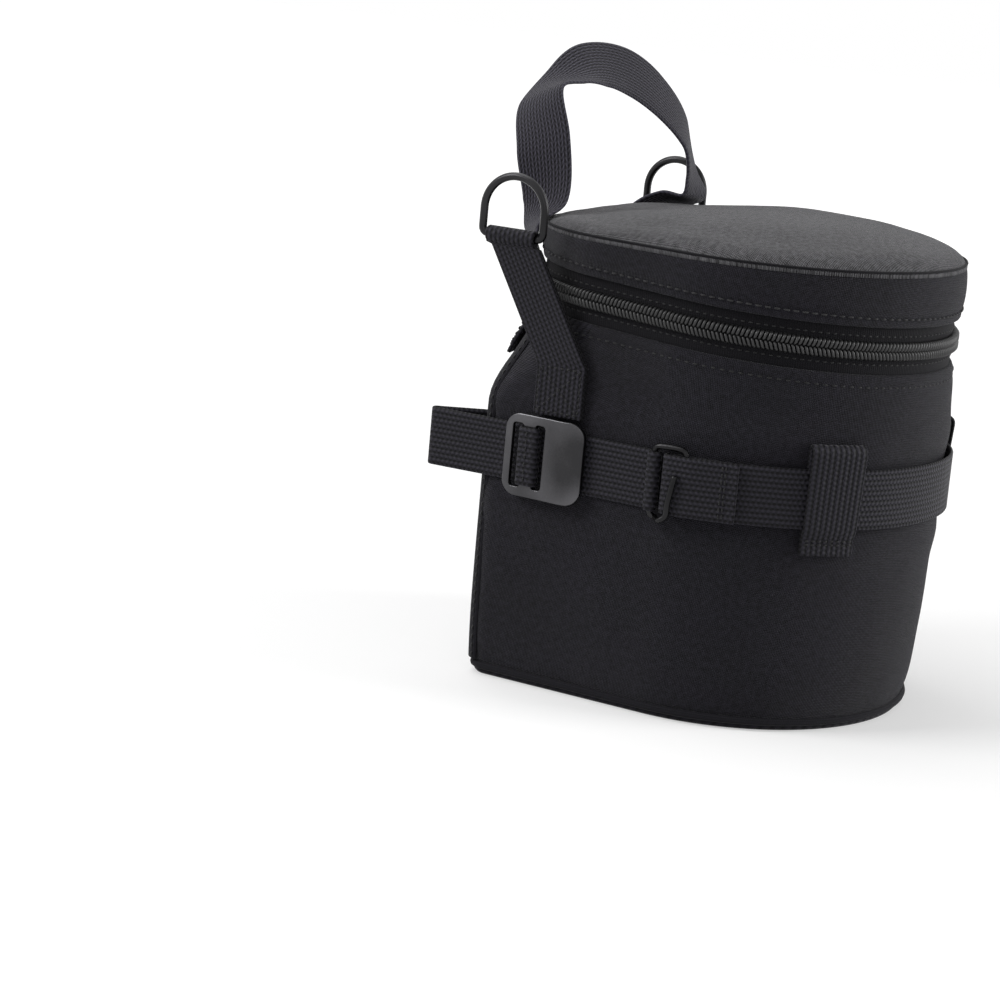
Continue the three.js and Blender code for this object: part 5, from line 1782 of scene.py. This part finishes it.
def power_property(name, description, default):
    return bpy.props.FloatProperty(name=name, description=description, default=default, min=0, unit="POWER")


class PouchTones(bpy.types.PropertyGroup):
    """Shades of the pouch's cloth and metal"""

    cloth_shade: share_property("Cloth", "Shade of the shell cloth", 0.0105)
    webbing_shade: share_property("Webbing", "Shade of straps and tabs", 0.0125)
    metal_shade: share_property("Metal", "Shade of the buckle's plating", 0.04)
    liner_shade: share_property("Liner", "Shade of the knitted liner", 0.11)


class PouchStudio(bpy.types.PropertyGroup):
    """Lamps of the studio"""

    rear: power_property("Rear", "Power of the lamp behind the pouch", 15)
    side: power_property("Side", "Power of the lamp on the nose's side", 21)
    top: power_property("Top", "Power of the lamp above", 12)
    front: power_property("Front", "Power of the lamp near the camera", 3)
    sky: share_property("Sky", "Strength of the even light all round", 0.26)
    floor_glow: share_property("Floor glow", "Light added to the floor as the camera sees it", 1.0)


class POUCH_OT_looks(bpy.types.Operator):
    """Mix the cloth, webbing, thread and metal finishes"""

    bl_idname = "pouch.looks"
    bl_label = "Finishes"

    def execute(self, context):
        make_looks(context.scene.pouch_tones)
        return {"FINISHED"}


class POUCH_OT_body(bpy.types.Operator):
    """Sew the walls, base, liner and edge bindings"""

    bl_idname = "pouch.body"
    bl_label = "Body"

    def execute(self, context):
        make_walls()
        make_base()
        make_liner()
        make_bindings()
        return {"FINISHED"}


class POUCH_OT_zip(bpy.types.Operator):
    """Set in the zip's tapes and coils"""

    bl_idname = "pouch.zip"
    bl_label = "Zip"

    def execute(self, context):
        make_zip()
        return {"FINISHED"}


class POUCH_OT_lid(bpy.types.Operator):
    """Sew the lid, its liner and the fabric hinge"""

    bl_idname = "pouch.lid"
    bl_label = "Lid"

    def execute(self, context):
        make_lid_side()
        make_lid_panel()
        make_lid_liner()
        make_hinge()
        return {"FINISHED"}


class POUCH_OT_belt(bpy.types.Operator):
    """Lay the belt straps and bend the wire hook"""

    bl_idname = "pouch.belt"
    bl_label = "Belt"

    def execute(self, context):
        make_belt()
        make_hook()
        return {"FINISHED"}


class POUCH_OT_keepers(bpy.types.Operator):
    """Fold the keepers over the belt"""

    bl_idname = "pouch.keepers"
    bl_label = "Keepers"

    def execute(self, context):
        make_keepers()
        return {"FINISHED"}


class POUCH_OT_rings(bpy.types.Operator):
    """Sew on the ring tabs and bend the rings"""

    bl_idname = "pouch.rings"
    bl_label = "Rings"

    def execute(self, context):
        make_tabs()
        make_rings()
        return {"FINISHED"}


class POUCH_OT_handle(bpy.types.Operator):
    """Shape the carry handle and its sewn ends"""

    bl_idname = "pouch.handle"
    bl_label = "Handle"

    def execute(self, context):
        make_handle()
        make_anchors()
        return {"FINISHED"}


class POUCH_OT_back_loop(bpy.types.Operator):
    """Sew the belt loop to the back"""

    bl_idname = "pouch.back_loop"
    bl_label = "Back loop"

    def execute(self, context):
        make_back_loop()
        return {"FINISHED"}


class POUCH_OT_buckle(bpy.types.Operator):
    """Stamp the ladder buckle and wrap its bar"""

    bl_idname = "pouch.buckle"
    bl_label = "Buckle"

    def execute(self, context):
        make_buckle()
        return {"FINISHED"}


class POUCH_OT_pulls(bpy.types.Operator):
    """Make the zip's sliders and pulls"""

    bl_idname = "pouch.pulls"
    bl_label = "Sliders and pulls"

    def execute(self, context):
        make_zip_pulls()
        return {"FINISHED"}


class POUCH_OT_stage(bpy.types.Operator):
    """Set up the camera, lamps and floor"""

    bl_idname = "pouch.stage"
    bl_label = "Studio"

    def execute(self, context):
        make_stage(context.scene.pouch_studio)
        return {"FINISHED"}


OPERATORS = (
    POUCH_OT_stage, POUCH_OT_looks, POUCH_OT_body, POUCH_OT_zip, POUCH_OT_lid, POUCH_OT_belt,
    POUCH_OT_keepers, POUCH_OT_rings, POUCH_OT_handle, POUCH_OT_back_loop, POUCH_OT_buckle, POUCH_OT_pulls,
)


class POUCH_PT_panel(bpy.types.Panel):
    """The pouch's pieces"""

    bl_idname = "POUCH_PT_panel"
    bl_label = "Lens pouch"
    bl_space_type = "VIEW_3D"
    bl_region_type = "UI"
    bl_category = "Pouch"

    def draw(self, context):
        for group in (context.scene.pouch_tones, context.scene.pouch_studio):
            box = self.layout.box()
            for key in group.__annotations__:
                box.prop(group, key)
        for operator in OPERATORS:
            self.layout.operator(operator.bl_idname)


CLASSES = (PouchTones, PouchStudio, *OPERATORS, POUCH_PT_panel)


def register():
    for item in CLASSES:
        bpy.utils.register_class(item)
    bpy.types.Scene.pouch_tones = bpy.props.PointerProperty(type=PouchTones)
    bpy.types.Scene.pouch_studio = bpy.props.PointerProperty(type=PouchStudio)


def unregister():
    del bpy.types.Scene.pouch_studio
    del bpy.types.Scene.pouch_tones
    for item in reversed(CLASSES):
        bpy.utils.unregister_class(item)


def main():
    register()
    for operator in OPERATORS:
        group, name = operator.bl_idname.split(".")
        getattr(getattr(bpy.ops, group), name)()
    bpy.ops.object.select_all(action="DESELECT")


if __name__ == "__main__":
    main()
